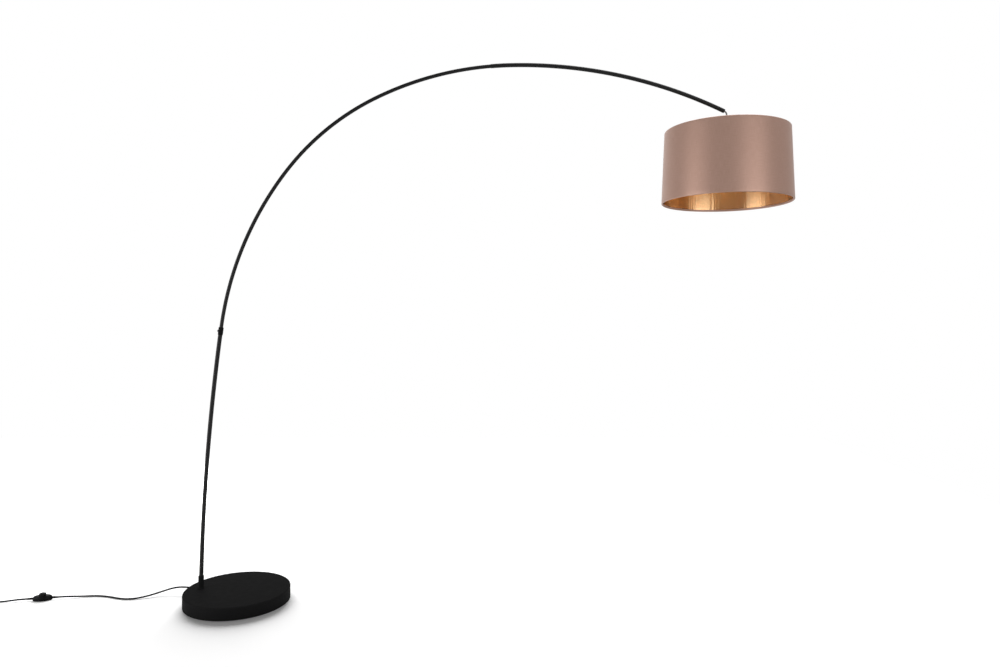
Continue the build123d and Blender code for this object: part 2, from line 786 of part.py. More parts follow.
# Shade: fabric outside, metallic lining inside, held open by a spider ring and a bottom ring
lining_inset = fabric_thickness + lining_thickness
with BuildPart() as shade_fabric:
    revolve(drum(0.0, fabric_thickness), axis=hang_axis)
keep(shade_fabric, "shade_fabric")

with BuildPart() as shade_lining:
    revolve(drum(fabric_thickness, lining_inset), axis=hang_axis)
keep(shade_lining, "shade_lining")

ring_inset = lining_inset + ring_gap + ring_wire / 2
bottom_ring_z = shade_bottom_z + ring_wire
top_ring_z = shade_top_z - ring_wire
with BuildPart() as bottom_ring:
    with BuildSketch(hang_section):
        with Locations((shade_radius(bottom_ring_z, ring_inset), bottom_ring_z)):
            Circle(ring_wire / 2)
    revolve(axis=hang_axis)
keep(bottom_ring, "shade_bottom_ring")

arm_z = spider_z + spider_arm / 2
top_ring_radius = shade_radius(top_ring_z, ring_inset)
with BuildLine(hang_section) as arm_line:
    FilletPolyline(
        (spider_disc / 2 - spider_arm, arm_z),
        (top_ring_radius - spider_arm_rise, arm_z),
        (top_ring_radius, top_ring_z),
        radius=spider_arm_bend,
    )
arm_wire = arm_line.wires()[0]
with BuildPart() as arm:
    sweep(ring_at(arm_wire, spider_arm), path=arm_wire)
with BuildPart() as shade_spider:
    with BuildSketch(hang_section):
        with Locations((top_ring_radius, top_ring_z)):
            Circle(ring_wire / 2)
    revolve(axis=hang_axis)
    with BuildSketch(Plane(origin=(pendant_x, 0, spider_z))):
        Circle(spider_disc / 2)
        Circle(holder_skirt / 2 + 2 * thread_gap, mode=Mode.SUBTRACT)
    extrude(amount=spider_disc_thickness)
    for index in range(spider_arms):
        add(arm.part.rotate(hang_axis, index * 360 / spider_arms))
keep(shade_spider, "shade_spider")

# Foot switch on the lead: two shells that clamp the cord reliefs
switch_plane = Plane(
    origin=(switch_center[0], switch_center[1], 0),
    x_dir=(cos(radians(switch_heading)), sin(radians(switch_heading)), 0),
    z_dir=(0, 0, 1),
)
half_length, half_width = switch_length / 2, switch_width / 2
roof_z = switch_height - switch_wall
shell_steps = [
    (switch_split, 1.0),
    ((switch_split + switch_height) / 2, switch_waist_share),
    (switch_height, switch_roof_share),
]
screw_x, screw_y = half_length * switch_screw_share, half_width * switch_screw_share
screw_places = [(-screw_x, screw_y), (screw_x, -screw_y)]
relief_bore = relief_root / 2 + cable_gap


def switch_axis_plane(distance):
    """A plane across the cord's line through the switch, a distance from its middle."""
    middle = switch_plane.from_local_coords((distance, 0, switch_split))
    return Plane(origin=middle, x_dir=(0, 0, 1), z_dir=switch_plane.x_dir)


with BuildPart() as switch_base:
    with BuildSketch(switch_plane):
        Ellipse(half_length, half_width)
    extrude(amount=switch_split)
    chamfer(switch_base.edges().group_by(Axis.Z)[0], length=switch_foot_chamfer)
    with BuildSketch(switch_plane.offset(switch_wall)):
        Ellipse(half_length - switch_wall, half_width - switch_wall)
    extrude(amount=switch_split, mode=Mode.SUBTRACT)
    with BuildSketch(switch_plane.offset(switch_wall)):
        with Locations(*screw_places):
            Circle(switch_boss / 2)
    extrude(amount=switch_split - switch_wall)
    with BuildSketch(switch_plane):
        with Locations(*screw_places):
            Circle(switch_screw / 2 + screw_gap)
    extrude(amount=switch_split, mode=Mode.SUBTRACT)
    with BuildSketch(switch_plane):
        with Locations(*screw_places):
            Circle(switch_screw)
    extrude(amount=switch_wall, mode=Mode.SUBTRACT)
    with BuildSketch(switch_axis_plane(-switch_length)):
        Circle(relief_bore)
    extrude(amount=2 * switch_length, mode=Mode.SUBTRACT)
keep(switch_base, "switch_base")

with BuildPart() as switch_top:
    for height, share in shell_steps:
        with BuildSketch(switch_plane.offset(height)):
            Ellipse(half_length * share, half_width * share)
    loft()
    fillet(switch_top.edges().group_by(Axis.Z)[-1], radius=switch_roof_edge)
    full_lid = switch_top.part
    for height, share in shell_steps:
        drop = switch_wall * (height - switch_split) / (switch_height - switch_split)
        with BuildSketch(switch_plane.offset(height - drop)):
            Ellipse(half_length * share - switch_wall, half_width * share - switch_wall)
    loft(mode=Mode.SUBTRACT)
    with BuildSketch(switch_plane.offset(switch_split)):
        with Locations(*screw_places):
            Circle(switch_boss / 2)
    bosses = extrude(amount=roof_z - switch_split + switch_wall / 2, mode=Mode.PRIVATE)
    add(bosses & full_lid)
    with BuildSketch(switch_plane.offset(switch_split)):
        Circle(button_diameter / 2 + switch_gap)
    extrude(amount=switch_height, mode=Mode.SUBTRACT)
    with BuildSketch(switch_plane.offset(switch_split)):
        with Locations(*screw_places):
            Circle(switch_screw / 2)
    extrude(amount=switch_screw, mode=Mode.SUBTRACT)
    with BuildSketch(switch_axis_plane(-switch_length)):
        Circle(relief_bore)
    extrude(amount=2 * switch_length, mode=Mode.SUBTRACT)
keep(switch_top, "switch_top")

# Push button, hollow below, with two lugs that stop it under the roof
button_foot = switch_split + button_travel
with BuildPart() as switch_button:
    with BuildSketch(switch_plane.offset(button_foot)):
        Circle(button_diameter / 2)
    extrude(amount=switch_height + button_rise - button_foot)
    fillet(switch_button.edges().group_by(Axis.Z)[-1], radius=button_edge)
    with BuildSketch(switch_plane.offset(roof_z - switch_gap)):
        Rectangle(button_diameter + 2 * button_lug_reach, button_lug_width)
    extrude(amount=-button_lug_height)
    with BuildSketch(switch_plane.offset(button_foot)):
        Circle(button_diameter / 2 - switch_wall)
    extrude(amount=button_travel + switch_wall, mode=Mode.SUBTRACT)
keep(switch_button, "switch_button")

# Return spring under the button
spring_low = switch_wall + spring_wire / 2 + slip_gap
spring_high = button_foot + button_travel + switch_wall - spring_wire / 2 - slip_gap
spring_height = spring_high - spring_low
spring_foot = switch_plane.from_local_coords((0, 0, spring_low))
with BuildLine() as spring_line:
    Helix(
        pitch=spring_height / spring_turns,
        height=spring_height,
        radius=spring_diameter / 2,
        center=spring_foot,
    )
spring_wire_path = spring_line.wires()[0]
with BuildPart() as switch_spring:
    sweep(ring_at(spring_wire_path, spring_wire), path=spring_wire_path, is_frenet=True)
keep(switch_spring, "switch_spring")

with BuildPart() as switch_contacts:
    with BuildSketch(switch_plane.offset(switch_wall)):
        with GridLocations(1, contact_strip_spacing, 1, 2):
            RectangleRounded(contact_strip_length, contact_strip_width, contact_strip_corner)
    extrude(amount=switch_wall)
keep(switch_contacts, "switch_contacts")

with BuildPart() as switch_screws:
    with BuildSketch(switch_plane):
        with Locations(*screw_places):
            Circle(switch_screw - screw_gap)
    extrude(amount=switch_wall)
    with BuildSketch(switch_plane.offset(switch_wall)):
        with Locations(*screw_places):
            Circle(switch_screw / 2 - screw_gap / 2)
    extrude(amount=switch_split - switch_wall + switch_screw - screw_gap)
keep(switch_screws, "switch_screws")

# Tapered rubber reliefs where the lead enters and leaves the switch
relief_end = half_length + relief_length
relief_sections = [
    (half_length - relief_seat, relief_root),
    (half_length, relief_root),
    (relief_end, relief_tip),
]
for name, side in (("switch_relief_base_side", -1), ("switch_relief_plug_side", 1)):
    with BuildPart() as switch_relief:
        for distance, diameter in relief_sections:
            with BuildSketch(switch_axis_plane(side * distance)):
                Circle(diameter / 2)
        loft(ruled=True)
    keep(switch_relief, name)


def cord_wire(name, points):
    """A cord's centreline: runs joined by arcs as large as their runs allow."""
    points = [Vector(*point) for point in points]
    radii = []
    for before, corner, after in zip(points, points[1:], points[2:]):
        turn = (corner - before).get_angle(after - corner)
        shorter = min((corner - before).length, (after - corner).length)
        radii.append(cord_arc_share * shorter / tan(radians(turn) / 2))
    print(name, "radii", " ".join("%.0f" % radius for radius in radii))
    with BuildLine() as line:
        FilletPolyline(*points, radius=radii)
    return line.wires()[0]


# Mains lead from the gland, down to the floor and along it to the switch
floor_z = cord_radius
switch_in = switch_plane.from_local_coords((-relief_end, 0, switch_split))
switch_out = switch_plane.from_local_coords((relief_end, 0, switch_split))
mains_wire = cord_wire("mains lead", [
    gland_mouth,
    gland_mouth + gland_out * cord_straight,
    (-289, 77, 24),
    (-332, 60, 13),
    (-374, 34, 6),
    (-420, 13, floor_z),
    (-470, 17, floor_z),
    (-522, 39, floor_z),
    (-576, 50, floor_z),
    (-632, 40, floor_z + 1),
    switch_in - switch_plane.x_dir * cord_straight,
    switch_in,
])
with BuildPart() as mains_lead:
    sweep(ring_at(mains_wire, cord_diameter), path=mains_wire)
keep(mains_lead, "mains_lead")

# Coil of the lead that is put away: two layers, wound in and out again
coil_low = tie_thickness + 2 * tie_gap + cord_radius
coil_turns = 2 * coil_turns_each_layer + coil_reversal


def coil_point(turn):
    """Centre of the coiled lead after a number of turns."""
    climb = min(max((turn - coil_turns_each_layer) / coil_reversal, 0.0), 1.0)
    radius = coil_outer_radius - coil_step * min(turn, coil_turns - turn)
    angle = radians(coil_start_angle + 360 * turn)
    height = coil_low + coil_layer * (1 - cos(pi * climb)) / 2
    return Vector(coil_center[0] + radius * cos(angle), coil_center[1] + radius * sin(angle), height)


def coil_direction(turn):
    """Way along the coiled lead; its two ends run square to what they meet."""
    if turn in (0.0, coil_turns):
        angle = radians(coil_start_angle + 360 * turn)
        return Vector(-sin(angle), cos(angle), 0)
    step = 0.01
    return (coil_point(turn + step) - coil_point(turn - step)).normalized()


def biarc(start, start_way, end, end_way):
    """Two arcs that leave one point and reach another along given ways."""
    span = end - start
    ways = start_way + end_way
    square = 2 * (1 - start_way.dot(end_way))
    slope = span.dot(ways)
    reach = (sqrt(slope * slope + square * span.dot(span)) - slope) / square
    middle = (start + start_way * reach + end - end_way * reach) / 2
    first = TangentArc(start, middle, tangent=start_way)
    TangentArc(middle, end, tangent=first % 1)


quarters = [quarter / 4 for quarter in range(round(4 * coil_turns) + 1)]
coil_begin = coil_point(0.0)
coil_finish = coil_point(coil_turns)
with BuildLine() as coil_line:
    Line(coil_begin - coil_direction(0.0) * cord_diameter, coil_begin)
    for turn, after in zip(quarters, quarters[1:]):
        biarc(coil_point(turn), coil_direction(turn), coil_point(after), coil_direction(after))
    Line(coil_finish, coil_finish + coil_direction(coil_turns) * cord_diameter)
coil_wire = coil_line.wires()[0]
with BuildPart() as cord_coil:
    sweep(ring_at(coil_wire, cord_diameter), path=coil_wire)
keep(cord_coil, "cord_coil")
sample_count = round(coil_samples_per_turn * coil_turns)
coil_samples = [coil_point(index / coil_samples_per_turn) for index in range(sample_count + 1)]
coil_gap = min(
    (coil_samples[one] - coil_samples[two]).length
    for one in range(len(coil_samples))
    for two in range(one + coil_samples_per_turn // 2, len(coil_samples))
) - cord_diameter
print("coil: least gap %.2f, length %.0f, volume over section times length %.4f"
      % (coil_gap, coil_wire.length, cord_coil.part.volume / (pi * cord_radius**2 * coil_wire.length)))

# Tie strap round the six strands on the coil's far side
tie_inner = coil_outer_radius - coil_step * coil_turns_each_layer - cord_radius - 2 * tie_gap
tie_outer = coil_outer_radius + cord_radius - coil_step / 4 + 2 * tie_gap
tie_span = tie_outer - tie_inner
tie_rise = coil_layer + cord_diameter + 2 * tie_gap
tie_middle = (coil_center[0] - (tie_inner + tie_outer) / 2, coil_low + coil_layer / 2)
with BuildPart() as coil_tie:
    with BuildSketch(Plane.XZ.offset(-coil_center[1] - tie_width / 2)):
        with Locations(tie_middle):
            RectangleRounded(
                tie_span + 2 * tie_thickness,
                tie_rise + 2 * tie_thickness,
                tie_corner + tie_thickness,
            )
            RectangleRounded(tie_span, tie_rise, tie_corner, mode=Mode.SUBTRACT)
    extrude(amount=tie_width)
keep(coil_tie, "coil_tie")

# Lead from the switch to the coil
coil_entry = coil_wire @ 0
plug_side_wire = cord_wire("plug lead", [
    switch_out,
    switch_out + switch_plane.x_dir * cord_straight,
    (-898, -13, floor_z + 1),
    (-940, -19, floor_z),
    (-984, -25, coil_low),
    coil_entry - coil_direction(0.0) * cord_straight,
    coil_entry,
])
with BuildPart() as plug_lead:
    sweep(ring_at(plug_side_wire, cord_diameter), path=plug_side_wire)
keep(plug_lead, "plug_lead")

# Short tail from the coil to the flat two-pin plug
coil_exit = coil_wire @ 1
plug_z = plug_depth / 2
plug_way = Vector(1, 0, 0)
tail_drop = plug_z - coil_exit.Z
tail_end = coil_exit + Vector(tail_reach, -tail_offset, tail_drop)
tail_wire = cord_wire("plug tail", [
    coil_exit,
    coil_exit + plug_way * tail_straight,
    coil_exit + Vector(tail_reach / 2, -tail_offset * tail_share, tail_drop * tail_share),
    tail_end - plug_way * tail_straight,
    tail_end,
])
with BuildPart() as plug_tail:
    sweep(ring_at(tail_wire, cord_diameter), path=tail_wire)
keep(plug_tail, "plug_tail")

plug_root = tail_end + plug_way * plug_relief
with BuildPart() as relief:
    for distance, diameter in ((0.0, relief_tip), (plug_relief, plug_depth - 2 * cable_gap)):
        with BuildSketch(Plane(origin=tail_end + plug_way * distance, x_dir=(0, 1, 0), z_dir=plug_way)):
            Circle(diameter / 2)
    loft(ruled=True)
keep(relief, "plug_relief")

plug_outline = [
    (0, plug_throat / 2),
    (plug_neck_length, plug_neck_width / 2),
    (plug_shoulder, plug_width / 2),
    (plug_length, plug_width / 2),
]
with BuildPart() as plug_body:
    with BuildSketch(Plane(origin=(plug_root.X, plug_root.Y, 0))):
        with BuildLine():
            Polyline(*plug_outline, *[(x, -y) for x, y in reversed(plug_outline)], close=True)
        make_face()
    extrude(amount=plug_depth)
    fillet(plug_body.edges().filter_by(Axis.Z), radius=plug_corner)
    fillet(plug_body.edges().group_by(Axis.Z)[-1], radius=plug_edge)
keep(plug_body, "plug_body")

with BuildPart() as plug_pins:
    with BuildSketch(Plane(origin=plug_root + plug_way * plug_length, x_dir=(0, 1, 0), z_dir=plug_way)):
        with GridLocations(pin_spacing, 1, 2, 1):
            Circle(pin_diameter / 2)
    extrude(amount=pin_length)
    fillet(plug_pins.faces().sort_by(Axis.X)[-2:].edges(), radius=pin_diameter / 2 - pin_tip_flat)
keep(plug_pins, "plug_pins")
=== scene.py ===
import json
import math

import bmesh
import bpy
from mathutils import Matrix, Vector


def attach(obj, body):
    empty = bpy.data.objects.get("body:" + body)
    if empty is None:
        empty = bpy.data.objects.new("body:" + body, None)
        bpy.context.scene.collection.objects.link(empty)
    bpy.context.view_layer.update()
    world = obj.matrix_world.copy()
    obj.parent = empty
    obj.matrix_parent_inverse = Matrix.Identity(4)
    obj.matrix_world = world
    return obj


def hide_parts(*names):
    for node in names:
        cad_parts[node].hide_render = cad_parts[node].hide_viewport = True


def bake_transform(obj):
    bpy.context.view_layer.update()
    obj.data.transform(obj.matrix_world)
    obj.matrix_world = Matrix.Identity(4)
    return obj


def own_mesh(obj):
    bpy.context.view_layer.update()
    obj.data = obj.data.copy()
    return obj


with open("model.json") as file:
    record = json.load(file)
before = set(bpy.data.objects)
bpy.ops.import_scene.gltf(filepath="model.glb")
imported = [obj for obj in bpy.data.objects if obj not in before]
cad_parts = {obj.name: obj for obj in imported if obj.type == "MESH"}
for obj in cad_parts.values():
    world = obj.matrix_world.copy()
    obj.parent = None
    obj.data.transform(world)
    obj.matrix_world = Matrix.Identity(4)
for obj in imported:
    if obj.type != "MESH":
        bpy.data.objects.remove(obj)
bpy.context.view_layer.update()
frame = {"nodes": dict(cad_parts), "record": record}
scene = bpy.context.scene

# Base cover: a flat round tin, drawn from sheet steel in one stroke and open below.
# It is powder-coated black with a fine, dull grain and drops over the cast weight.
base_radius, base_top, cover_foot = 0.200, 0.050, 0.002
cover_wall, cover_edge, lip_edge = 0.0015, 0.004, 0.0006


def compass(bearing, distance):
    """A point on the flat, at a bearing and a distance from the middle."""
    return Vector((math.cos(bearing), math.sin(bearing))) * distance


def bearings(count):
    """Evenly spaced bearings all the way round."""
    return [2 * math.pi * index / count for index in range(count)]


def arc(middle, radius, begin, turn, steps, first=0):
    """Points of an arc round a middle, from one bearing on through a turn."""
    return [middle + compass(begin + turn * step / steps, radius) for step in range(first, steps + 1)]


def rounded(corners, steps=6, closed=True):
    """Points of an outline whose (across, up, rounding) corners are rounded by arcs."""
    outline = []
    last = len(corners) - 1
    for index, (across, up, rounding) in enumerate(corners):
        corner = Vector((across, up))
        if rounding == 0 or (not closed and index in (0, last)):
            outline.append(corner)
            continue
        before = (Vector(corners[index - 1][:2]) - corner).normalized()
        after = (Vector(corners[(index + 1) % len(corners)][:2]) - corner).normalized()
        half = before.angle(after) / 2
        reach = rounding / math.tan(half)
        middle = corner + (before + after).normalized() * (rounding / math.sin(half))
        begin = corner + before * reach - middle
        end = corner + after * reach - middle
        angle = math.atan2(begin.y, begin.x)
        turn = (math.atan2(end.y, end.x) - angle + math.pi) % (2 * math.pi) - math.pi
        outline += arc(middle, rounding, angle, turn, steps)
    return outline


def stacked(rings, turn_over=True):
    """A closed skin over rings of points or single poles. The last joins the first, or both are filled."""
    mesh = bmesh.new()
    rows = [[mesh.verts.new(point) for point in ring] for ring in rings]
    count = max(map(len, rows))
    rows = [row * count if len(row) == 1 else row for row in rows]
    for row, above in zip(rows, rows[1:] + rows[:1] if turn_over else rows[1:]):
        for index in range(count):
            after = (index + 1) % count
            corners = list(dict.fromkeys([row[index], row[after], above[after], above[index]]))
            if len(corners) > 2:
                mesh.faces.new(corners)
    if not turn_over:
        mesh.faces.new(rows[0])
        mesh.faces.new(rows[-1])
    return mesh


def turned(outline, foot=(0, 0, 0), up=(0, 0, 1), angles=96):
    """A closed outline of (radius, height) points carried round an axis, as on a lathe."""
    if isinstance(angles, int):
        angles = bearings(angles)
    lean = Vector((0, 0, 1)).rotation_difference(Vector(up)).to_matrix()
    rings = []
    for radius, height in outline:
        spokes = [compass(angle, radius) for angle in angles] if radius > 1e-7 else [(0, 0)]
        rings.append([Vector(foot) + lean @ Vector((*spoke, height)) for spoke in spokes])
    return stacked(rings)


def node(tree, kind, inputs, **settings):
    """A new node. An input is a plain value or another node's output."""
    made = tree.nodes.new("ShaderNode" + kind)
    for name, value in settings.items():
        setattr(made, name, value)
    for name, value in inputs.items():
        if isinstance(value, bpy.types.NodeSocket):
            tree.links.new(value, made.inputs[name])
        else:
            made.inputs[name].default_value = value
    return made


def feed(socket, value):
    """Lead a value into a socket of its finish's shader."""
    value.id_data.links.new(value, value.id_data.nodes["Principled BSDF"].inputs[socket])


def speckle(tree, scale, detail=3.0, stretch=(1, 1, 1)):
    """Noise in the piece's own metres, drawn out by a stretch along its axes."""
    place = node(tree, "TexCoord", {}).outputs["Object"]
    drawn = node(tree, "Mapping", {"Vector": place, "Scale": stretch}).outputs["Vector"]
    return node(tree, "TexNoise", {"Vector": drawn, "Scale": scale, "Detail": detail}).outputs["Fac"]


def span(value, begin, end, low, high):
    """Carry a value that runs from begin to end over to run from low to high."""
    ends = {"From Min": begin, "From Max": end, "To Min": low, "To Max": high}
    return node(value.id_data, "MapRange", {"Value": value, **ends}).outputs["Result"]


def tint(value, dark, light):
    """Let a pattern shade the colour of its finish between two tones."""
    ramp = node(value.id_data, "ValToRGB", {"Fac": value})
    for element, position, tone in zip(ramp.color_ramp.elements, (0.3, 0.7), (dark, light)):
        element.position = position
        element.color = (*tone, 1)
    feed("Base Color", ramp.outputs["Color"])


def emboss(value, depth, strength):
    """Raise the surface by a pattern, to a depth in metres."""
    bump = node(value.id_data, "Bump", {"Height": value, "Distance": depth, "Strength": strength})
    feed("Normal", bump.outputs["Normal"])


def coated(
    name, colour, roughness, metallic=0.0, specular=0.5, also=(), tones=None, dulling=None, relief=None,
):
    """A new finish: plain values on the shader, then fine grains for colour, roughness and surface."""
    finish = bpy.data.materials.new(name)
    finish.use_nodes = True
    tree = finish.node_tree
    sockets = tree.nodes["Principled BSDF"].inputs
    sockets["Base Color"].default_value = (*colour, 1)
    sockets["Roughness"].default_value = roughness
    sockets["Metallic"].default_value = metallic
    sockets["Specular IOR Level"].default_value = specular
    for socket, value in dict(also).items():
        sockets[socket].default_value = value
    if tones:
        grain, dark, light = tones
        tint(speckle(tree, *grain), dark, light)
    if dulling:
        grain, low, high = dulling
        feed("Roughness", span(speckle(tree, *grain), 0.3, 0.7, low, high))
    if relief:
        grain, depth, strength = relief
        emboss(speckle(tree, *grain), depth, strength)
    return finish


def dress(name, mesh, body, finish, slot, *stands_for, sharp=32.0):
    """Put a mesh on the lamp: outward faces, smooth but for sharp edges, finish and body. The slot argument
    is not used.
    """
    bmesh.ops.recalc_face_normals(mesh, faces=mesh.faces)
    for face in mesh.faces:
        face.smooth = True
    for edge in mesh.edges:
        edge.smooth = len(edge.link_faces) == 2 and edge.calc_face_angle(0.0) < math.radians(sharp)
    data = bpy.data.meshes.new(name)
    mesh.to_mesh(data)
    mesh.free()
    piece = bpy.data.objects.new(name, data)
    scene.collection.objects.link(piece)
    data.materials.append(finish)
    if body:
        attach(piece, body)
    if stands_for:
        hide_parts(*stands_for)
    return piece


def refinish(finish, *nodes):
    """Give CAD solids that keep their shape a finish of their own."""
    for solid in nodes:
        slots = frame["nodes"][solid].data.materials
        slots.clear()
        slots.append(finish)


powder_black = coated(
    "powder_black", (0.0090, 0.0090, 0.0091), 0.72, specular=0.02,
    tones=((700, 4.0), (0.0078, 0.0078, 0.0079), (0.0104, 0.0104, 0.0106)),
    dulling=((40,), 0.68, 0.76), relief=((1300, 2.0), 0.00008, 0.4),
)
cover = turned(rounded([
    (0, base_top, 0),
    (base_radius, base_top, cover_edge),
    (base_radius, cover_foot, lip_edge),
    (base_radius - cover_wall, cover_foot, lip_edge),
    (base_radius - cover_wall, base_top - cover_wall, cover_edge - cover_wall),
    (0, base_top - cover_wall, 0),
], steps=10), angles=256)
dress("base_cover_shell", cover, "stand", powder_black, "black_metal", "base_cover")

# Underside of the base: a steel closing plate on four screws, the cast weight behind it,
# and a disc of pressed black felt, punched round the screw heads, that spares the floor.
felt_radius, felt_thickness, felt_edge = 0.188, 0.002, 0.0007
felt_points, felt_rag = 192, 0.0016
punch_radius, punch_points = 0.0048, 40
screw_circle = 0.130
screw_bearings = [math.radians(45 + 90 * index) for index in range(4)]
screw_radius, screw_height, screw_shank, screw_end = 0.0045, 0.0010, 0.0025, 0.015


def punched(rings, thickness, edge):
    """A flat sheet inside its first ring of points and outside the others, with broken edges."""
    sheet = bpy.data.curves.new("punched_sheet", "CURVE")
    sheet.dimensions = "2D"
    sheet.fill_mode = "BOTH"
    sheet.extrude = thickness / 2 - edge
    sheet.bevel_depth = edge
    sheet.bevel_resolution = 3
    sheet.offset = -edge
    for ring in rings:
        line = sheet.splines.new("POLY")
        line.points.add(len(ring) - 1)
        for point, place in zip(line.points, ring):
            point.co = (*place, 0, 1)
        line.use_cyclic_u = True
    blank = bpy.data.objects.new("punched_sheet", sheet)
    data = bpy.data.meshes.new_from_object(blank)
    mesh = bmesh.new()
    mesh.from_mesh(data)
    bmesh.ops.remove_doubles(mesh, verts=mesh.verts, dist=1e-6)
    bpy.data.meshes.remove(data)
    bpy.data.objects.remove(blank)
    bpy.data.curves.remove(sheet)
    return mesh


felt_black = coated(
    "felt_black", (0.020, 0.020, 0.022), 0.95, specular=0.1, also={"Sheen Weight": 0.4},
    tones=((420, 6.0), (0.013, 0.013, 0.014), (0.034, 0.034, 0.036)),
    relief=((900, 5.0, (1.0, 0.35, 1.0)), 0.0006, 0.8),
)
felt_rings = [[]]
for bearing in bearings(felt_points):
    ragged = 1 + felt_rag * math.sin(23 * bearing) * math.sin(7 * bearing + 1)
    felt_rings[0].append(compass(bearing, felt_radius * ragged))
for screw_bearing in screw_bearings:
    middle = compass(screw_bearing, screw_circle)
    felt_rings.append([middle + compass(bearing, punch_radius) for bearing in bearings(punch_points)])
felt = punched(felt_rings, felt_thickness, felt_edge)
felt.transform(Matrix.Translation((0, 0, felt_thickness / 2)))
dress("felt_disc", felt, "stand", felt_black, "felt", "felt_pad", sharp=10.0)


def screw_head(radius, foot, height, shank, shank_foot):
    """A cheese-head screw with a driver slot, standing along +Z."""
    slot_half, slot_wall, slot_depth = 0.0005, 0.00002, height * 0.4
    head_edge = min(0.0008, height / 2)
    mesh = turned(rounded([
        (0, foot + height, 0),
        (radius, foot + height, head_edge),
        (radius, foot, 0.0002),
        (shank, foot, 0),
        (shank, shank_foot, 0),
        (0, shank_foot, 0),
    ], steps=5), angles=48)
    for edge in (-slot_half - slot_wall, -slot_half, slot_half, slot_half + slot_wall):
        geometry = mesh.verts[:] + mesh.edges[:] + mesh.faces[:]
        bmesh.ops.bisect_plane(mesh, geom=geometry, plane_co=(edge, 0, 0), plane_no=(1, 0, 0))
    for corner in mesh.verts:
        if abs(corner.co.x) <= slot_half + 1e-6 and corner.co.z > foot + height - head_edge - 0.0001:
            corner.co.z = foot + height - slot_depth
    bmesh.ops.dissolve_degenerate(mesh, dist=1e-6, edges=mesh.edges)
    return mesh


def joined(meshes):
    """Several closed meshes as one."""
    whole = bmesh.new()
    scrap = bpy.data.meshes.new("scrap")
    for mesh in meshes:
        mesh.to_mesh(scrap)
        mesh.free()
        whole.from_mesh(scrap)
    bpy.data.meshes.remove(scrap)
    return whole


zinc_steel = coated(
    "zinc_steel", (0.62, 0.63, 0.60), 0.32, metallic=1.0,
    tones=((240,), (0.55, 0.57, 0.56), (0.68, 0.68, 0.62)), dulling=((600,), 0.26, 0.42),
)
plate_screws = []
for index, bearing in enumerate(screw_bearings):
    plate_screw = screw_head(screw_radius, -felt_thickness, screw_height, screw_shank, -screw_end)
    slot_turn = Matrix.Rotation(math.pi, 4, "X") @ Matrix.Rotation(0.9 * index, 4, "Z")
    plate_screw.transform(Matrix.Translation((*compass(bearing, screw_circle), 0)) @ slot_turn)
    plate_screws.append(plate_screw)
dress("plate_screw_set", joined(plate_screws), "stand", zinc_steel, "zinc_steel", "base_plate_screws")
refinish(zinc_steel, "foot_washer", "foot_nut")
plate_steel = coated(
    "plate_steel", (0.30, 0.31, 0.32), 0.42, metallic=1.0, dulling=((160, 4.0, (1, 12, 1)), 0.34, 0.52),
)
refinish(plate_steel, "base_plate")
cast_iron = coated(
    "cast_iron", (0.055, 0.053, 0.050), 0.8, metallic=0.4,
    tones=((90, 6.0), (0.036, 0.034, 0.032), (0.080, 0.072, 0.064)), relief=((500, 6.0), 0.0008, 0.7),
)
refinish(cast_iron, "ballast")

# Foot socket: a turned steel cup with a flange, bolted through the cover and the weight.
# The lowest tube stands in it, a little off plumb, and a sunk screw at the back holds it.
foot_x, foot_heading = -0.143, math.radians(88.8)
socket_radius, socket_length, socket_bore = 0.0105, 0.050, 0.0083
flange_radius, flange_height, stud_bore = 0.013, 0.003, 0.0045
foot_way = Vector((math.cos(foot_heading), 0, math.sin(foot_heading)))
foot_place = Vector((foot_x, 0, base_top))
socket_cup = turned(rounded([
    (socket_bore, flange_height, 0),
    (socket_bore, socket_length, 0.0004),
    (socket_radius, socket_length, 0.0010),
    (socket_radius, flange_height, 0.0012),
    (flange_radius, flange_height, 0.0008),
    (flange_radius, 0, 0),
    (stud_bore, 0, 0),
    (stud_bore, flange_height, 0),
]), foot_place, foot_way)
flat_on_cover = base_top + 0.0005
for corner in socket_cup.verts:
    if corner.co.z < flat_on_cover:
        corner.co.z = base_top
dress("foot_socket_cup", socket_cup, "stand", powder_black, "black_metal", "foot_socket")
screw_black = coated(
    "screw_black", (0.016, 0.016, 0.017), 0.36, metallic=0.7, dulling=((700,), 0.28, 0.46),
)
refinish(screw_black, "foot_grub_screw", "end_tube_grub_screw")

# Bent arm: three round steel tubes, each drawn through rollers, that slip into one another.
# Lower and end tube are 16 mm thick, the long middle one is 14 mm and fits inside them.
bends = [(9.050, 6.5), (1.290, 29.5), (0.995, 26.9), (1.267, 24.5), (1.837, 26.9)]
outer_tube, inner_tube = 0.016, 0.014
outer_bore, inner_bore = 0.0142, 0.012
socket_floor, socket_overlap, tip_overlap = 0.0031, 0.060, 0.075
tube_step, tube_edge = 0.010, 0.0004
bend_lengths = [radius * math.radians(turn) for radius, turn in bends]
joint_distance = bend_lengths[0]
level_distance = sum(bend_lengths[:4])
tip_distance = sum(bend_lengths)
middle_begin, end_begin = joint_distance - socket_overlap, level_distance - tip_overlap


def arm_point(distance):
    """Place and heading on the arm's centreline, a distance up from the foot."""
    place, heading = foot_place.copy(), foot_heading
    for (radius, turn), length in zip(bends, bend_lengths):
        part = min(distance, length) if (radius, turn) != bends[-1] else distance
        swing = part / radius
        place.x += radius * (math.sin(heading) - math.sin(heading - swing))
        place.z += radius * (math.cos(heading - swing) - math.cos(heading))
        heading -= swing
        distance -= part
        if distance <= 0:
            break
    return place, Vector((math.cos(heading), 0, math.sin(heading)))


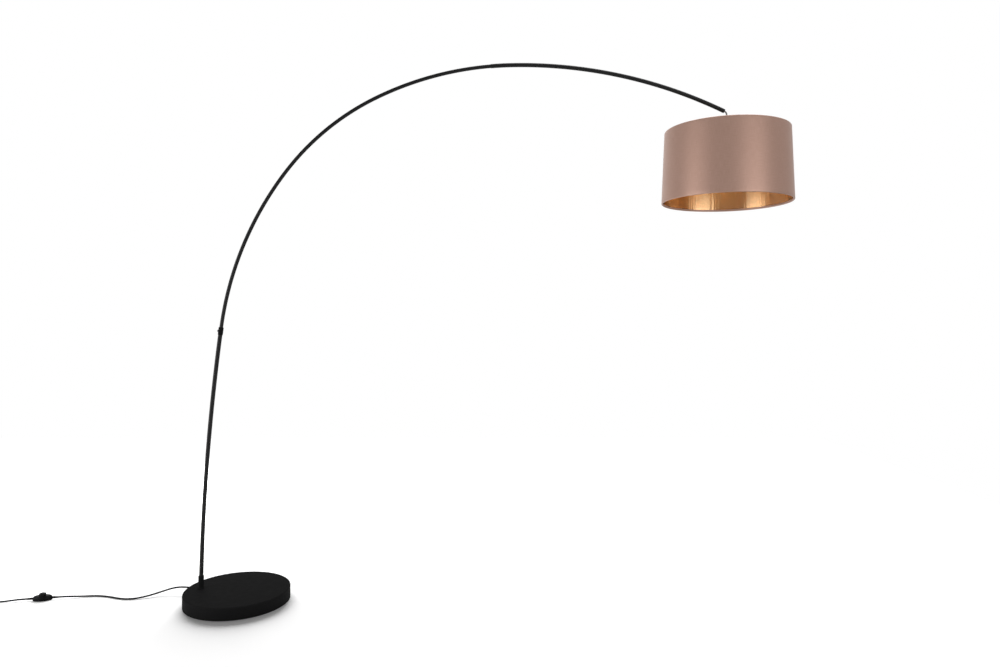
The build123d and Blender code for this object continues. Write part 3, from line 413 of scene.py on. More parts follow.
def swept(path, radii, sides, bores=None):
    """A round bar along a path of points, or a tube where bores are given, closed at its ends."""
    across = Vector((0, 1, 0))
    outside, inside = [], []
    for index, place in enumerate(path):
        way = (path[min(index + 1, len(path) - 1)] - path[max(index - 1, 0)]).normalized()
        across = (across - way * across.dot(way)).normalized()
        lift = way.cross(across)
        spokes = [across * math.cos(angle) + lift * math.sin(angle) for angle in bearings(sides)]
        outside.append([place + spoke * radii[index] for spoke in spokes])
        if bores:
            inside.append([place + spoke * bores[index] for spoke in spokes])
    return stacked(outside + inside[::-1], turn_over=bool(bores))


tube_black = coated(
    "tube_black", (0.0068, 0.0068, 0.0070), 0.5, specular=0.24,
    tones=((500,), (0.0055, 0.0055, 0.0057), (0.0080, 0.0080, 0.0083)),
    dulling=((60,), 0.45, 0.56), relief=((1300, 2.0), 0.00006, 0.35),
)
for name, begin, end, thickness, bore, solid in (
    ("lower_arm_tube", socket_floor, joint_distance, outer_tube, outer_bore, "lower_tube"),
    ("middle_arm_tube", middle_begin, level_distance, inner_tube, inner_bore, "middle_tube"),
    ("end_arm_tube", end_begin, tip_distance, outer_tube, outer_bore, "end_tube"),
):
    count = math.ceil((end - begin) / tube_step)
    stops = [begin, begin + tube_edge]
    stops += [begin + (end - begin) * index / count for index in range(1, count)]
    stops += [end - tube_edge, end]
    radii = [thickness / 2] * len(stops)
    radii[0] = radii[-1] = thickness / 2 - tube_edge
    tube = swept([arm_point(stop)[0] for stop in stops], radii, 48, [bore / 2] * len(stops))
    dress(name, tube, "stand", tube_black, "black_metal", solid)

# Joint collar: a short turned sleeve on the head of the lower tube, with a clamp screw.
# The screw's slotted head shows on the outer side and pinches the middle tube.
collar_radius, collar_length, collar_bore = 0.0095, 0.030, 0.0081
collar_groove = collar_radius - 0.0004
clamp_radius, clamp_height, clamp_seat = 0.004, 0.003, 0.0096
clamp_shank, clamp_end = 0.0025, 0.0071
collar_foot, collar_way = arm_point(joint_distance - collar_length)
collar = turned(rounded([
    (collar_bore, 0, 0.0003),
    (collar_radius, 0, 0.0008),
    (collar_radius, 0.0030, 0.0002),
    (collar_groove, 0.0034, 0.0002),
    (collar_groove, 0.0044, 0.0002),
    (collar_radius, 0.0048, 0.0002),
    (collar_radius, collar_length, 0.0008),
    (collar_bore, collar_length, 0.0003),
], steps=4), collar_foot, collar_way)
dress("joint_collar_sleeve", collar, "stand", powder_black, "black_metal", "joint_collar")
joint_place, joint_way = arm_point(joint_distance)
clamp_place = joint_place - joint_way * (collar_length / 2)
clamp_out = Vector((-joint_way.z, 0, joint_way.x))
clamp_screw = screw_head(clamp_radius, clamp_seat, clamp_height, clamp_shank, clamp_end)
clamp_turn = Vector((0, 0, 1)).rotation_difference(clamp_out).to_matrix().to_4x4()
clamp_screw.transform(Matrix.Translation(clamp_place) @ clamp_turn)
dress("joint_screw", clamp_screw, "stand", screw_black, "black_metal", "joint_clamp_screw")

# Tip bush: a moulded plug pressed into the tube's open end, with a rounded nose.
# The lamp cable comes out of its middle and turns straight down.
bush_radius, bush_shank, bush_bore = 0.008, 0.007, 0.0034
bush_depth, bush_nose = 0.016, 0.006
tip_place, tip_way = arm_point(tip_distance)
bush_black = coated(
    "bush_black", (0.0065, 0.0065, 0.0067), 0.46, specular=0.16,
    tones=((120,), (0.0055, 0.0055, 0.0057), (0.0078, 0.0078, 0.0080)), relief=((1600,), 0.00006, 0.5),
)
bush = turned(rounded([
    (bush_bore, -bush_depth, 0),
    (bush_shank, -bush_depth, 0.0006),
    (bush_shank, 0, 0),
    (bush_radius, 0, 0.0002),
    (bush_radius, bush_nose, 0.003),
    (bush_bore, bush_nose, 0.0008),
], steps=8), tip_place, tip_way)
dress("tip_bush_plug", bush, "stand", bush_black, "black_plastic", "tip_bush")

# Lamp cable: a round two-core cable in a grey sheath, drawn through the arm at the works.
# It carries the shade and flexes at two places: at the tip and above the lampholder.
cable_radius, flex = 0.003, 0.005
cable_turn, turn_steps = 0.008, 8
stud_end, channel_reach = 0.0175, 0.0318
channel_bearing = math.atan2(0.0580, -0.0468)
arm_step, bush_cover, cover_steps = 0.015, 0.006, 4
tip_bend, bend_steps, hang_steps = 0.014, 20, 16
grip_depth = 0.0028
hinges = {joint["name"]: joint for joint in frame["record"]["behaviour"]["joints"]}
swing_place = Vector(hinges["cable_swing"]["pos_m"])
tilt_place = Vector(hinges["shade_tilt"]["pos_m"])
hang_x = swing_place.x
cable_grey = coated(
    "cable_grey", (0.19, 0.19, 0.19), 0.45,
    tones=((90,), (0.16, 0.16, 0.16), (0.22, 0.22, 0.22)), relief=((900, 2.0, (1, 1, 0.2)), 0.0001, 0.4),
)


def sheathed(name, path, body, *stands_for):
    """A stretch of the lamp cable along a path."""
    sheath = swept(path, [cable_radius] * len(path), 24)
    return dress(name, sheath, body, cable_grey, "grey_cable", *stands_for)


channel_way = compass(channel_bearing, 1).to_3d()
cable_path = [Vector((foot_x, 0, stud_end - cable_turn)) + channel_way * channel_reach]
for index in range(turn_steps + 1):
    angle = math.pi / 2 * index / turn_steps
    sideways = channel_way * cable_turn * (1 - math.sin(angle))
    cable_path.append(Vector((foot_x, 0, stud_end - cable_turn * math.cos(angle))) + sideways)
cable_path.append((cable_path[-1] + foot_place) / 2)
nose_distance = tip_distance + bush_nose
covered = nose_distance - bush_cover
count = math.ceil(covered / arm_step)
cable_path += [arm_point(covered * index / count)[0] for index in range(count + 1)]
sheathed("arm_cable_sheath", cable_path, "stand", "arm_cable")

tip_path = [arm_point(covered + bush_cover * index / cover_steps)[0] for index in range(cover_steps + 1)]
nose_place, nose_way = arm_point(nose_distance)
bend_begin = math.atan2(nose_way.z, nose_way.x) + math.pi / 2
bend_middle = nose_place - Vector((-nose_way.z, 0, nose_way.x)) * tip_bend
for index in range(1, bend_steps + 1):
    angle = bend_begin * (1 - index / bend_steps)
    tip_path.append(bend_middle + Vector((math.cos(angle), 0, math.sin(angle))) * tip_bend)
bend_end = tip_path[-1]
hang_middle = (swing_place + tilt_place) / 2
tip_path += [bend_end.lerp(hang_middle, index / hang_steps) for index in range(1, hang_steps + 1)]
upper_cable = sheathed("tip_cable_sheath", tip_path, None)
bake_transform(upper_cable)
grip_seat = tilt_place - Vector((0, 0, grip_depth))
hanging_path = [hang_middle.lerp(grip_seat, index / hang_steps) for index in range(hang_steps + 1)]
lower_cable = sheathed("hanging_cable_sheath", hanging_path, None, "pendant_cable")
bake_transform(lower_cable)

# Cord gland and wiring in the base: a tapered rubber sleeve snapped into the cover's side wall,
# ribbed so that the lead can't kink there, with a terminal block in the channel behind it.
gland_bearing, gland_height = math.radians(163.0), 0.030
gland_length, gland_bore, gland_begin = 0.026, 0.00335, 0.0045
gland_collar, gland_root, gland_tip = 0.0085, 0.0065, 0.0045
gland_neck, gland_inside = gland_root - 0.0002, -0.0056
wave_steps = 8
gland_way = compass(gland_bearing, 1).to_3d()
gland_seat = gland_way * (base_radius - cover_wall) + Vector((0, 0, gland_height))
rubber_black = coated(
    "rubber_black", (0.0058, 0.0058, 0.0060), 0.58, specular=0.10,
    tones=((150,), (0.0048, 0.0048, 0.0050), (0.0072, 0.0072, 0.0074)), relief=((1400,), 0.00008, 0.5),
)


def waved(begin, end, root, tip, count, depth, lag=0.0):
    """Outline of a round flank with grooves: ribs that start full, or a thread that lags by half a turn."""
    outline = []
    for index in range(1, count * wave_steps):
        share = index / (count * wave_steps)
        groove = depth * (1 - math.cos(2 * math.pi * index / wave_steps + lag)) / 2
        outline.append((root + (tip - root) * share - groove, begin + (end - begin) * share))
    return outline


def ribbed_sleeve(begin, end, root, tip, bore, ribs, depth):
    """Outline of a tapered sleeve with round grooves between its ribs and a broken edge at its tip."""
    flank = waved(begin, end, root, tip, ribs, depth)
    return [(bore, end), (bore, begin), (root, begin), *flank, (tip, end - 0.0006), (tip - 0.0005, end)]


gland_shoulder = rounded([
    (gland_bore, gland_inside, 0),
    (gland_collar, gland_inside, 0.0006),
    (gland_collar, -0.0003, 0.0003),
    (gland_neck, -0.0003, 0),
    (gland_neck, cover_wall + 0.0001, 0),
    (gland_collar, cover_wall + 0.0001, 0.0004),
    (gland_collar, 0.0031, 0.0007),
    (gland_root, gland_begin, 0),
], closed=False, steps=4)
gland_taper = ribbed_sleeve(gland_begin, gland_length, gland_root, gland_tip, gland_bore, 6, 0.0007)
gland = turned(gland_shoulder + gland_taper[3:] + gland_taper[:1], gland_seat, gland_way, 64)
dress("cord_gland_sleeve", gland, "stand", rubber_black, "black_rubber", "cord_gland")
lead_black = coated(
    "lead_black", (0.0046, 0.0046, 0.0048), 0.40, specular=0.08,
    tones=((60,), (0.0038, 0.0038, 0.0040), (0.0058, 0.0058, 0.0060)),
    dulling=((110,), 0.36, 0.5), relief=((1200,), 0.00005, 0.4),
)
refinish(lead_black, "base_lead")
terminal_white = coated(
    "terminal_white", (0.62, 0.60, 0.54), 0.5, tones=((200,), (0.56, 0.54, 0.48), (0.68, 0.66, 0.60)),
)
refinish(terminal_white, "terminal_block")

# Cord grip and lampholder: black moulded plastic, a domed cap screwed on a threaded skirt.
# The flange rests on the shade's spider and a knurled ring below clamps the spider to it.
cap_top, cap_foot, cap_wall, cap_hole = 1.86235, 1.83235, 0.002, 0.0051
flange_foot, holder_flange, flange_edge = 1.82935, 0.0230, 0.0004
skirt_foot, skirt_radius, holder_bore = 1.79335, 0.0195, 0.0138
dome_radius, dome_inside = skirt_radius + 0.0010, skirt_radius - cap_wall
thread_pitch, thread_depth, thread_turns = 0.003, 0.0006, 10
grip_radius, grip_waist, grip_foot, grip_top = 0.007, 0.005, cap_top - 0.004, 1.88235
seat_radius, mouth_radius = 0.0033, 0.0056
clamp_ring_radius, clamp_ring_bore, ring_top, ring_foot = 0.027, 0.0198, 1.82785, 1.81985
hang_foot = Vector((hang_x, 0, 0))
holder_black = coated(
    "holder_black", (0.013, 0.013, 0.0135), 0.4,
    tones=((140,), (0.011, 0.011, 0.0115), (0.017, 0.017, 0.0175)),
    dulling=((320,), 0.34, 0.46), relief=((1500,), 0.00005, 0.5),
)


def fluted(mesh, beyond, low, high, count, depth):
    """Press grooves round a turned piece of the pendant, outside a radius and between two heights."""
    for corner in mesh.verts:
        spoke = corner.co - Vector((hang_x, 0, corner.co.z))
        if spoke.length > beyond and low < corner.co.z < high:
            groove = depth * (1 - math.cos(count * math.atan2(spoke.y, spoke.x))) / 2
            corner.co -= spoke.normalized() * groove


grip_outline = rounded([
    (0, grip_foot, 0),
    (grip_waist, grip_foot, 0.0004),
    (grip_waist, cap_top, 0),
    (grip_radius, cap_top, 0.0005),
    (grip_radius, grip_top - 0.004, 0.0008),
    (mouth_radius + 0.0006, grip_top, 0.0003),
    (mouth_radius, grip_top, 0.0003),
    (seat_radius, tilt_place.z, 0.0002),
], closed=False, steps=4)
grip_outline += arc(Vector((0, tilt_place.z)), seat_radius, 0, -math.pi / 2, 6, 1)
grip = turned(grip_outline, hang_foot, angles=72)
fluted(grip, grip_radius - 0.0004, cap_top + 0.0015, grip_top - 0.0042, 12, 0.0004)
dress("cord_grip_nut", grip, "holder", holder_black, "grip_plastic", "cord_grip")
holder_dome = turned(rounded([
    (cap_hole, cap_top, 0.0003),
    (0.0088, cap_top, 0.0030),
    (0.0172, cap_top - 0.0085, 0.0080),
    (dome_radius, cap_foot + 0.0060, 0.0070),
    (dome_radius, cap_foot, 0.0004),
    (dome_inside, cap_foot, 0),
    (dome_inside, cap_foot + 0.0060, 0.0050),
    (0.0150, cap_top - 0.0105, 0.0060),
    (0.0080, cap_top - cap_wall, 0.0015),
    (cap_hole, cap_top - cap_wall, 0),
], steps=8), hang_foot)
dress("holder_dome", holder_dome, "holder", holder_black, "holder_plastic", "holder_cap")
thread_foot = skirt_foot + 0.0010
thread_top = thread_foot + thread_pitch * thread_turns
body_outline = rounded([
    (holder_bore, skirt_foot, 0.0003),
    (skirt_radius - thread_depth, skirt_foot, 0.0006),
], closed=False)
body_outline += waved(
    thread_foot, thread_top, skirt_radius, skirt_radius, thread_turns, thread_depth, lag=math.pi,
)
body_outline += [
    (skirt_radius - thread_depth, flange_foot),
    (holder_flange - flange_edge, flange_foot),
    (holder_flange, flange_foot + flange_edge),
    (holder_flange, cap_foot - flange_edge),
    (holder_flange - flange_edge, cap_foot),
    (holder_bore, cap_foot),
]
holder_skirt = turned(body_outline, hang_foot)
dress("holder_skirt", holder_skirt, "holder", holder_black, "holder_plastic", "holder_body")
clamp_ring = turned(rounded([
    (clamp_ring_bore, ring_foot, 0.0004),
    (clamp_ring_radius, ring_foot, 0.0010),
    (clamp_ring_radius, ring_top, 0.0010),
    (clamp_ring_bore, ring_top, 0.0004),
], steps=5), hang_foot, angles=288)
fluted(clamp_ring, clamp_ring_radius - 0.0002, ring_foot, ring_top, 36, 0.0007)
dress("shade_ring_nut", clamp_ring, "holder", holder_black, "holder_plastic", "shade_clamp_ring")
holder_ceramic = coated(
    "holder_ceramic", (0.78, 0.76, 0.71), 0.3, tones=((180,), (0.72, 0.70, 0.65), (0.84, 0.82, 0.77)),
)
refinish(holder_ceramic, "holder_insert")
contact_brass = coated(
    "contact_brass", (0.72, 0.52, 0.22), 0.3, metallic=1.0, dulling=((500,), 0.22, 0.42),
)
refinish(contact_brass, "holder_contact")

# Bulb: an opal glass globe of 60 mm, blown in one piece with its neck, cemented in a rolled
# metal screw cap with a solder contact on top.
bulb_radius, globe_z = 0.030, 1.73935
neck_radius, glass_wall = 0.0128, 0.001
cap_radius, bulb_top, cap_thread = 0.0132, 1.81735, skirt_foot + 0.0015
cap_pitch, cap_turns, cap_depth = 0.0032, 5, 0.0009
flare_side = neck_radius + bulb_radius
flare_rise = math.sqrt((2 * bulb_radius) ** 2 - flare_side ** 2)
meet_angle = math.atan2(flare_rise, flare_side)


def globe_side(inset):
    """Outline of the globe from its lowest point up through the flare to the neck."""
    side = arc(Vector((0, globe_z)), bulb_radius - inset, -math.pi / 2, meet_angle + math.pi / 2, 40)
    flare_middle = Vector((flare_side, globe_z + flare_rise))
    side += arc(flare_middle, bulb_radius + inset, meet_angle + math.pi, -meet_angle, 12, first=1)
    return side + [Vector((neck_radius - inset, skirt_foot))]


globe = turned(globe_side(0.0) + globe_side(glass_wall)[::-1], hang_foot)
opal_glass = coated(
    "opal_glass", (0.86, 0.85, 0.82), 0.22,
    also={"Subsurface Weight": 0.25, "Subsurface Radius": (0.004, 0.004, 0.004), "Coat Weight": 0.4},
    tones=((35, 4.0), (0.83, 0.82, 0.79), (0.89, 0.88, 0.85)),
)
dress("opal_globe", globe, "holder", opal_glass, "opal_glass", "bulb_globe")
cap_thread_top = cap_thread + cap_pitch * cap_turns
bulb_cap = turned([
    (0, skirt_foot),
    (cap_radius - 0.0004, skirt_foot),
    (cap_radius, skirt_foot + 0.0006),
    *waved(cap_thread, cap_thread_top, cap_radius, cap_radius, cap_turns, cap_depth, lag=math.pi),
    (cap_radius - 0.0012, bulb_top - 0.0058),
    (cap_radius * 2 / 3, bulb_top - 0.0016),
    (0.0040, bulb_top - 0.0015),
    (0.0030, bulb_top),
    (0, bulb_top),
], hang_foot, angles=72)
cap_metal = coated("cap_metal", (0.66, 0.65, 0.62), 0.3, metallic=1.0, dulling=((420,), 0.22, 0.4))
dress("bulb_screw_cap", bulb_cap, "holder", cap_metal, "bulb_metal", "bulb_cap")

# Shade: a slightly tapered drum of woven cloth glued on a stiff copper-coloured foil lining.
# At both rims the cloth is rolled over a wire ring and tucked in; one glued seam runs up the side.
shade_foot, shade_top = 1.562, 1.842
foot_radius, top_radius = 0.250, 0.2385
cloth, foil = 0.0008, 0.0005
foil_tuck, foil_gap = 0.0026, 0.0001
roll, tuck, roll_steps = 0.0029, 0.0050, 10
drum_points, wall_rows = 240, 24
seam_angle, seam_step = math.radians(12), 0.0005
seam_half, seam_edge = 0.005 / foot_radius, 0.0006 / foot_radius
yarn_pitch, slub_length = 0.0011, 0.030


def shade_radius(height):
    """Radius of the drum's outside at a height."""
    share = (height - shade_foot) / (shade_top - shade_foot)
    return foot_radius + (top_radius - foot_radius) * share


roll_line = roll - cloth / 2
low_middle = Vector((foot_radius - roll, shade_foot + roll))
high_middle = Vector((top_radius - roll, shade_top - roll))
wall_line = [low_middle + Vector((-roll_line, tuck))]
wall_line += arc(low_middle, roll_line, math.pi, math.pi, roll_steps)
for index in range(1, wall_rows):
    wall_line.append(low_middle.lerp(high_middle, index / wall_rows) + Vector((roll_line, 0)))
wall_line += arc(high_middle, roll_line, 0, math.pi, roll_steps)
wall_line.append(high_middle + Vector((-roll_line, -tuck)))
outer_skin, inner_skin = [], []
for index, point in enumerate(wall_line):
    way = (wall_line[min(index + 1, len(wall_line) - 1)] - wall_line[max(index - 1, 0)]).normalized()
    away = Vector((way.y, -way.x)) * (cloth / 2)
    outer_skin.append(point + away)
    inner_skin.append(point - away)
seam_reach = seam_half + 2 * seam_edge
drum_angles = [angle for angle in bearings(drum_points) if abs(angle - seam_angle) > seam_reach]
for side in (-1, 1):
    drum_angles += [seam_angle + side * seam_half, seam_angle + side * (seam_half + seam_edge)]
drum_angles.sort()
drum = turned(outer_skin + inner_skin[::-1], hang_foot, angles=drum_angles)
for corner in drum.verts:
    spoke = corner.co - Vector((hang_x, 0, corner.co.z))
    off_seam = abs(math.atan2(spoke.y, spoke.x) - seam_angle)
    if off_seam < seam_half + 1e-5 and spoke.length > shade_radius(corner.co.z) - cloth / 2:
        corner.co -= spoke.normalized() * seam_step


def reckon(operation, first, second=0.0):
    """One step of arithmetic between two values, or a value and a number."""
    return node(first.id_data, "Math", {0: first, 1: second}, operation=operation).outputs[0]


def around(tree):
    """Distance round the drum and height on it, in metres, as two values."""
    place = node(tree, "TexCoord", {}).outputs["Object"]
    shifted = node(tree, "Mapping", {"Vector": place, "Location": (-hang_x, 0, 0)}).outputs["Vector"]
    split = node(tree, "SeparateXYZ", {0: shifted}).outputs
    return reckon("MULTIPLY", reckon("ARCTAN2", split["Y"], split["X"]), foot_radius), split["Z"]


def threads(across, along, thickness, length):
    """Uneven threads: noise that is fine across them and drawn out along them."""
    weave = {"X": reckon("DIVIDE", across, thickness), "Y": reckon("DIVIDE", along, length)}
    place = node(across.id_data, "CombineXYZ", weave).outputs[0]
    return node(across.id_data, "TexNoise", {"Vector": place, "Scale": 1.0, "Detail": 2.0}).outputs["Fac"]


shade_cloth = coated(
    "shade_cloth", (0.445, 0.286, 0.231), 0.41, metallic=0.31, specular=0.12,
    also={"Sheen Weight": 0.15, "Sheen Roughness": 0.4},
)
round_drum, up_drum = around(shade_cloth.node_tree)
weft = threads(up_drum, round_drum, yarn_pitch, slub_length)
warp = threads(round_drum, up_drum, yarn_pitch, slub_length)
yarn = reckon("MULTIPLY", reckon("ADD", weft, warp), 0.5)
tint(yarn, (0.432, 0.268, 0.208), (0.514, 0.328, 0.265))
turn_per_metre = 2 * math.pi / yarn_pitch
over = reckon("SINE", reckon("MULTIPLY", round_drum, turn_per_metre))
under = reckon("SINE", reckon("MULTIPLY", up_drum, turn_per_metre))
crossing = reckon("MULTIPLY", reckon("MULTIPLY", over, under), 0.25)
emboss(reckon("ADD", crossing, yarn), 0.00010, 0.3)
dress("shade_cloth_drum", drum, "shade", shade_cloth, "shade_cloth", "shade_fabric", sharp=50.0)

foil_foot, foil_top = shade_foot + foil_tuck, shade_top - foil_tuck
foil_outline = []
for index in range(wall_rows + 1):
    height = foil_foot + (foil_top - foil_foot) * index / wall_rows
    foil_outline.append(Vector((shade_radius(height) - cloth - foil_gap, height)))
foil_outline += [point - Vector((foil - foil_gap, 0)) for point in reversed(foil_outline)]
copper_foil = coated(
    "copper_foil", (0.87, 0.58, 0.32), 0.235, metallic=1.0,
    also={"Anisotropic": 0.92, "Anisotropic Rotation": 0.25}, dulling=((26,), 0.22, 0.25),
)
round_foil, up_foil = around(copper_foil.node_tree)
brushed = threads(up_foil, round_foil, 0.0012, 0.25)
tint(brushed, (0.85, 0.55, 0.29), (0.89, 0.61, 0.35))
rolled = node(copper_foil.node_tree, "Tangent", {}, direction_type="RADIAL", axis="Z")
feed("Tangent", rolled.outputs["Tangent"])
rolling = threads(round_foil, up_foil, 0.008, 0.5)
emboss(reckon("ADD", reckon("MULTIPLY", brushed, 0.12), rolling), 0.0024, 0.5)
lining = turned(foil_outline, hang_foot, angles=256)
lining = dress("copper_lining", lining, "shade", copper_foil, "copper_foil", "shade_lining")
ring_white = coated(
    "ring_white", (0.70, 0.69, 0.66), 0.4,
    tones=((130,), (0.66, 0.65, 0.62), (0.74, 0.73, 0.70)), relief=((900,), 0.00005, 0.4),
)
refinish(ring_white, "shade_bottom_ring", "shade_spider")

# Foot switch: two oval shells of black plastic, screwed together from below round the lead.
# A round push button stands up through the lid, with a dished, ringed top for the foot.
switch_heading = math.radians(191.0)
switch_place = Vector((-0.771, 0.012, 0.0))
half_length, half_width = 0.035, 0.020
switch_split, switch_top, switch_wall = 0.008, 0.018, 0.002
seam_groove, tray_edge, tray_foot = 0.0004, 0.0017, 0.0019
lid_steps, lid_lip, lid_step = 12, 0.0006, 0.0005
lid_narrowing, lid_fullness = 0.28, 1.15
button_radius, button_hole = 0.0125, 0.0128
button_top, button_inside, button_foot = 0.027, 0.016, 0.011
spring_radius, spring_wire = 0.00625, 0.0009
spring_turns, spring_steps = 4, 160
spring_low, spring_high = 0.00255, 0.01545
relief_begin, relief_end = 0.029, 0.055
relief_root, relief_tip = 0.005, 0.004
lead_radius = 0.00325
lead_bore = lead_radius + 0.0001
switch_way = compass(switch_heading, 1).to_3d()
switch_frame = Matrix.Translation(switch_place) @ Matrix.Rotation(switch_heading, 4, "Z")


def oval(length, width, height):
    """Points round an oval at a height."""
    return [Vector((length * math.cos(angle), width * math.sin(angle), height)) for angle in bearings(96)]


def oval_inset(inset, height):
    """Points round the switch's own oval, drawn in by an inset."""
    return oval(half_length - inset, half_width - inset, height)


def quarter_round(edge, steps=6):
    """The (height, inset) steps of a rounded edge, from the underside up to the side."""
    angles = [math.pi / 2 * index / steps for index in range(steps + 1)]
    return [(edge * (1 - math.cos(angle)), edge * (1 - math.sin(angle))) for angle in angles]


switch_plastic = coated(
    "switch_plastic", (0.0038, 0.0038, 0.0040), 0.40, specular=0.08,
    tones=((160,), (0.0030, 0.0030, 0.0032), (0.0048, 0.0048, 0.0050)),
    dulling=((380,), 0.36, 0.5), relief=((1500,), 0.00008, 0.6),
)
tray = [oval_inset(tray_foot, 0.0)]
tray += [oval_inset(inset, height) for height, inset in quarter_round(tray_edge)]
tray += [
    oval_inset(0, switch_split - 0.0006),
    oval_inset(seam_groove, switch_split - seam_groove / 2),
    oval_inset(switch_wall, switch_split - seam_groove / 2),
    oval_inset(switch_wall, switch_wall),
]
tray = stacked(tray, turn_over=False)
tray.transform(switch_frame)
lower_shell = dress("switch_tray", tray, "stand", switch_plastic, "switch_plastic", "switch_base")

lid_foot, lid_inside = switch_split + lid_step, switch_top - switch_wall - 0.001
lid = [
    oval_inset(switch_wall, switch_split),
    oval_inset(seam_groove, switch_split),
    oval_inset(0, lid_foot),
]
for index in range(1, lid_steps + 1):
    angle = math.pi / 2 * index / lid_steps
    shrink = 1 - lid_narrowing * (1 - math.cos(angle)) ** lid_fullness
    height = lid_foot + (switch_top - lid_foot) * math.sin(angle)
    lid.append(oval(half_length * shrink, half_width * shrink, height))
for lip, height in (
    (lid_lip, switch_top),
    (lid_lip / 3, switch_top - lid_lip / 3),
    (0, switch_top - lid_lip),
    (0, lid_inside),
):
    lid.append(oval(button_hole + lip, button_hole + lip, height))
lid += [
    oval(half_length * 0.70, half_width * 0.70, lid_inside),
    oval_inset(switch_wall, switch_split + 0.003),
]
lid = stacked(lid)
lid.transform(switch_frame)
upper_shell = dress("switch_lid", lid, "stand", switch_plastic, "switch_plastic", "switch_top")

button_plastic = coated(
    "button_plastic", (0.0042, 0.0042, 0.0044), 0.34, specular=0.10,
    tones=((180,), (0.0034, 0.0034, 0.0036), (0.0052, 0.0052, 0.0054)), dulling=((420,), 0.3, 0.44),
)
button = turned(rounded([
    (0, button_top - 0.0011, 0),
    (0.0030, button_top - 0.0010, 0.0030),
    (0.0046, button_top - 0.0009, 0.0004),
    (0.0050, button_top - 0.0013, 0.0002),
    (0.0055, button_top - 0.0008, 0.0004),
    (0.0072, button_top - 0.0005, 0.0004),
    (0.0076, button_top - 0.0009, 0.0002),
    (0.0081, button_top - 0.0004, 0.0004),
    (0.0095, button_top, 0.0006),
    (button_radius, button_top, 0.0024),
    (button_radius, button_foot, 0.0003),
    (button_radius - switch_wall, button_foot, 0.0003),
    (button_radius - switch_wall, button_inside, 0.0005),
    (0, button_inside, 0),
], steps=5), switch_place)
push_button = dress(
    "switch_push_button", button, "button", button_plastic, "button_plastic", "switch_button",
)
spring_path = []
for index in range(spring_steps + 1):
    share = index / spring_steps
    wound = compass(2 * math.pi * spring_turns * share, spring_radius)
    spring_path.append(switch_frame @ Vector((*wound, spring_low + (spring_high - spring_low) * share)))
spring = swept(spring_path, [spring_wire / 2] * len(spring_path), 12)
spring = dress("return_spring", spring, "stand", zinc_steel, "zinc_steel", "switch_spring")
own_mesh(spring)
refinish(zinc_steel, "switch_screws")
refinish(contact_brass, "switch_contacts")
switch_line = switch_place + Vector((0, 0, switch_split))
sleeve_outline = ribbed_sleeve(relief_begin, relief_end, relief_root, relief_tip, lead_bore, 7, 0.0006)
for name, side in (("switch_relief_base_side", -1), ("switch_relief_plug_side", 1)):
    sleeve = turned(sleeve_outline, switch_line, switch_way * side, 56)
    dress(name + "_sleeve", sleeve, "stand", rubber_black, "black_rubber", name)

# Plug and tie: a flat moulded two-pin plug at the lead's far end, with half-sleeved pins,
# and a woven strap that holds the wound-up length of lead together.
plug_depth, plug_length, plug_width = 0.0137, 0.036, 0.035
plug_throat, plug_edge, plug_parting = 0.014, 0.0016, 0.0003
plug_relief, plug_relief_root, plug_relief_tip = 0.024, 0.0040, 0.0066
pin_radius, sleeve_radius, pin_spacing = 0.002, 0.0018, 0.0186
pin_length, pin_sleeve = 0.019, 0.010
coil_middle, coil_radius = Vector((-1.060, -0.070, 0.0)), 0.042
coil_step, coil_layer, coil_low = 0.0072, 0.0070, 0.00475
tie_inner, tie_outer, tie_rise = 0.02015, 0.04405, 0.0141
tie_width, tie_thickness, tie_corner = 0.012, 0.0009, 0.003
strap_edge = 0.0002
tail_end = Vector((-0.9775, -0.117, plug_depth / 2))
plug_root = tail_end + Vector((plug_relief, 0, 0))
pin_face = plug_root + Vector((plug_length, 0, 0))


def pressed(outline, levels):
    """A flat outline stacked at (height, inset) levels, drawn in square to its edge."""
    rings = []
    for height, inset in levels:
        ring = []
        for index, point in enumerate(outline):
            way = (outline[(index + 1) % len(outline)] - outline[index - 1]).normalized()
            ring.append(Vector((point.x + way.y * inset, point.y - way.x * inset, height)))
        rings.append(ring)
    return stacked(rings, turn_over=False)


def pair_of_pins(outline):
    """One turned outline for both of the plug's pins, side by side."""
    places = [pin_face + Vector((0, side * pin_spacing / 2, 0)) for side in (-1, 1)]
    return joined([turned(outline, place, (1, 0, 0), 40) for place in places])


plug_black = coated(
    "plug_black", (0.0046, 0.0046, 0.0048), 0.40, specular=0.12,
    tones=((150,), (0.0038, 0.0038, 0.0040), (0.0058, 0.0058, 0.0060)),
    dulling=((350,), 0.34, 0.48), relief=((1300,), 0.00006, 0.5),
)
plug_side = [
    (0, plug_throat / 2, 0.0012),
    (plug_length * 0.25, plug_throat * 0.62, 0.012),
    (plug_length * 0.6, plug_width / 2, 0.007),
    (plug_length, plug_width / 2, 0.0025),
]
plug_outline = rounded(plug_side + [(x, -y, edge) for x, y, edge in reversed(plug_side)], steps=8)
plug_levels = quarter_round(plug_edge) + [(plug_depth / 2 - plug_parting, 0)]
plug_upper_half = [(plug_depth - height, inset) for height, inset in reversed(plug_levels)]
plug = pressed(plug_outline, plug_levels + [(plug_depth / 2, plug_parting)] + plug_upper_half)
plug.transform(Matrix.Translation((plug_root.x, plug_root.y, 0)))
plug = dress("plug_moulding", plug, "stand", plug_black, "plug_plastic", "plug_body")
plug_sleeve = ribbed_sleeve(0.0, plug_relief, plug_relief_root, plug_relief_tip, lead_bore, 6, 0.0006)
plug_sleeve = turned(plug_sleeve, tail_end, (1, 0, 0), 56)
plug_sleeve = dress("plug_relief_sleeve", plug_sleeve, "stand", rubber_black, "black_rubber", "plug_relief")
pin_metal = coated("pin_metal", (0.68, 0.66, 0.62), 0.26, metallic=1.0, dulling=((500,), 0.2, 0.36))
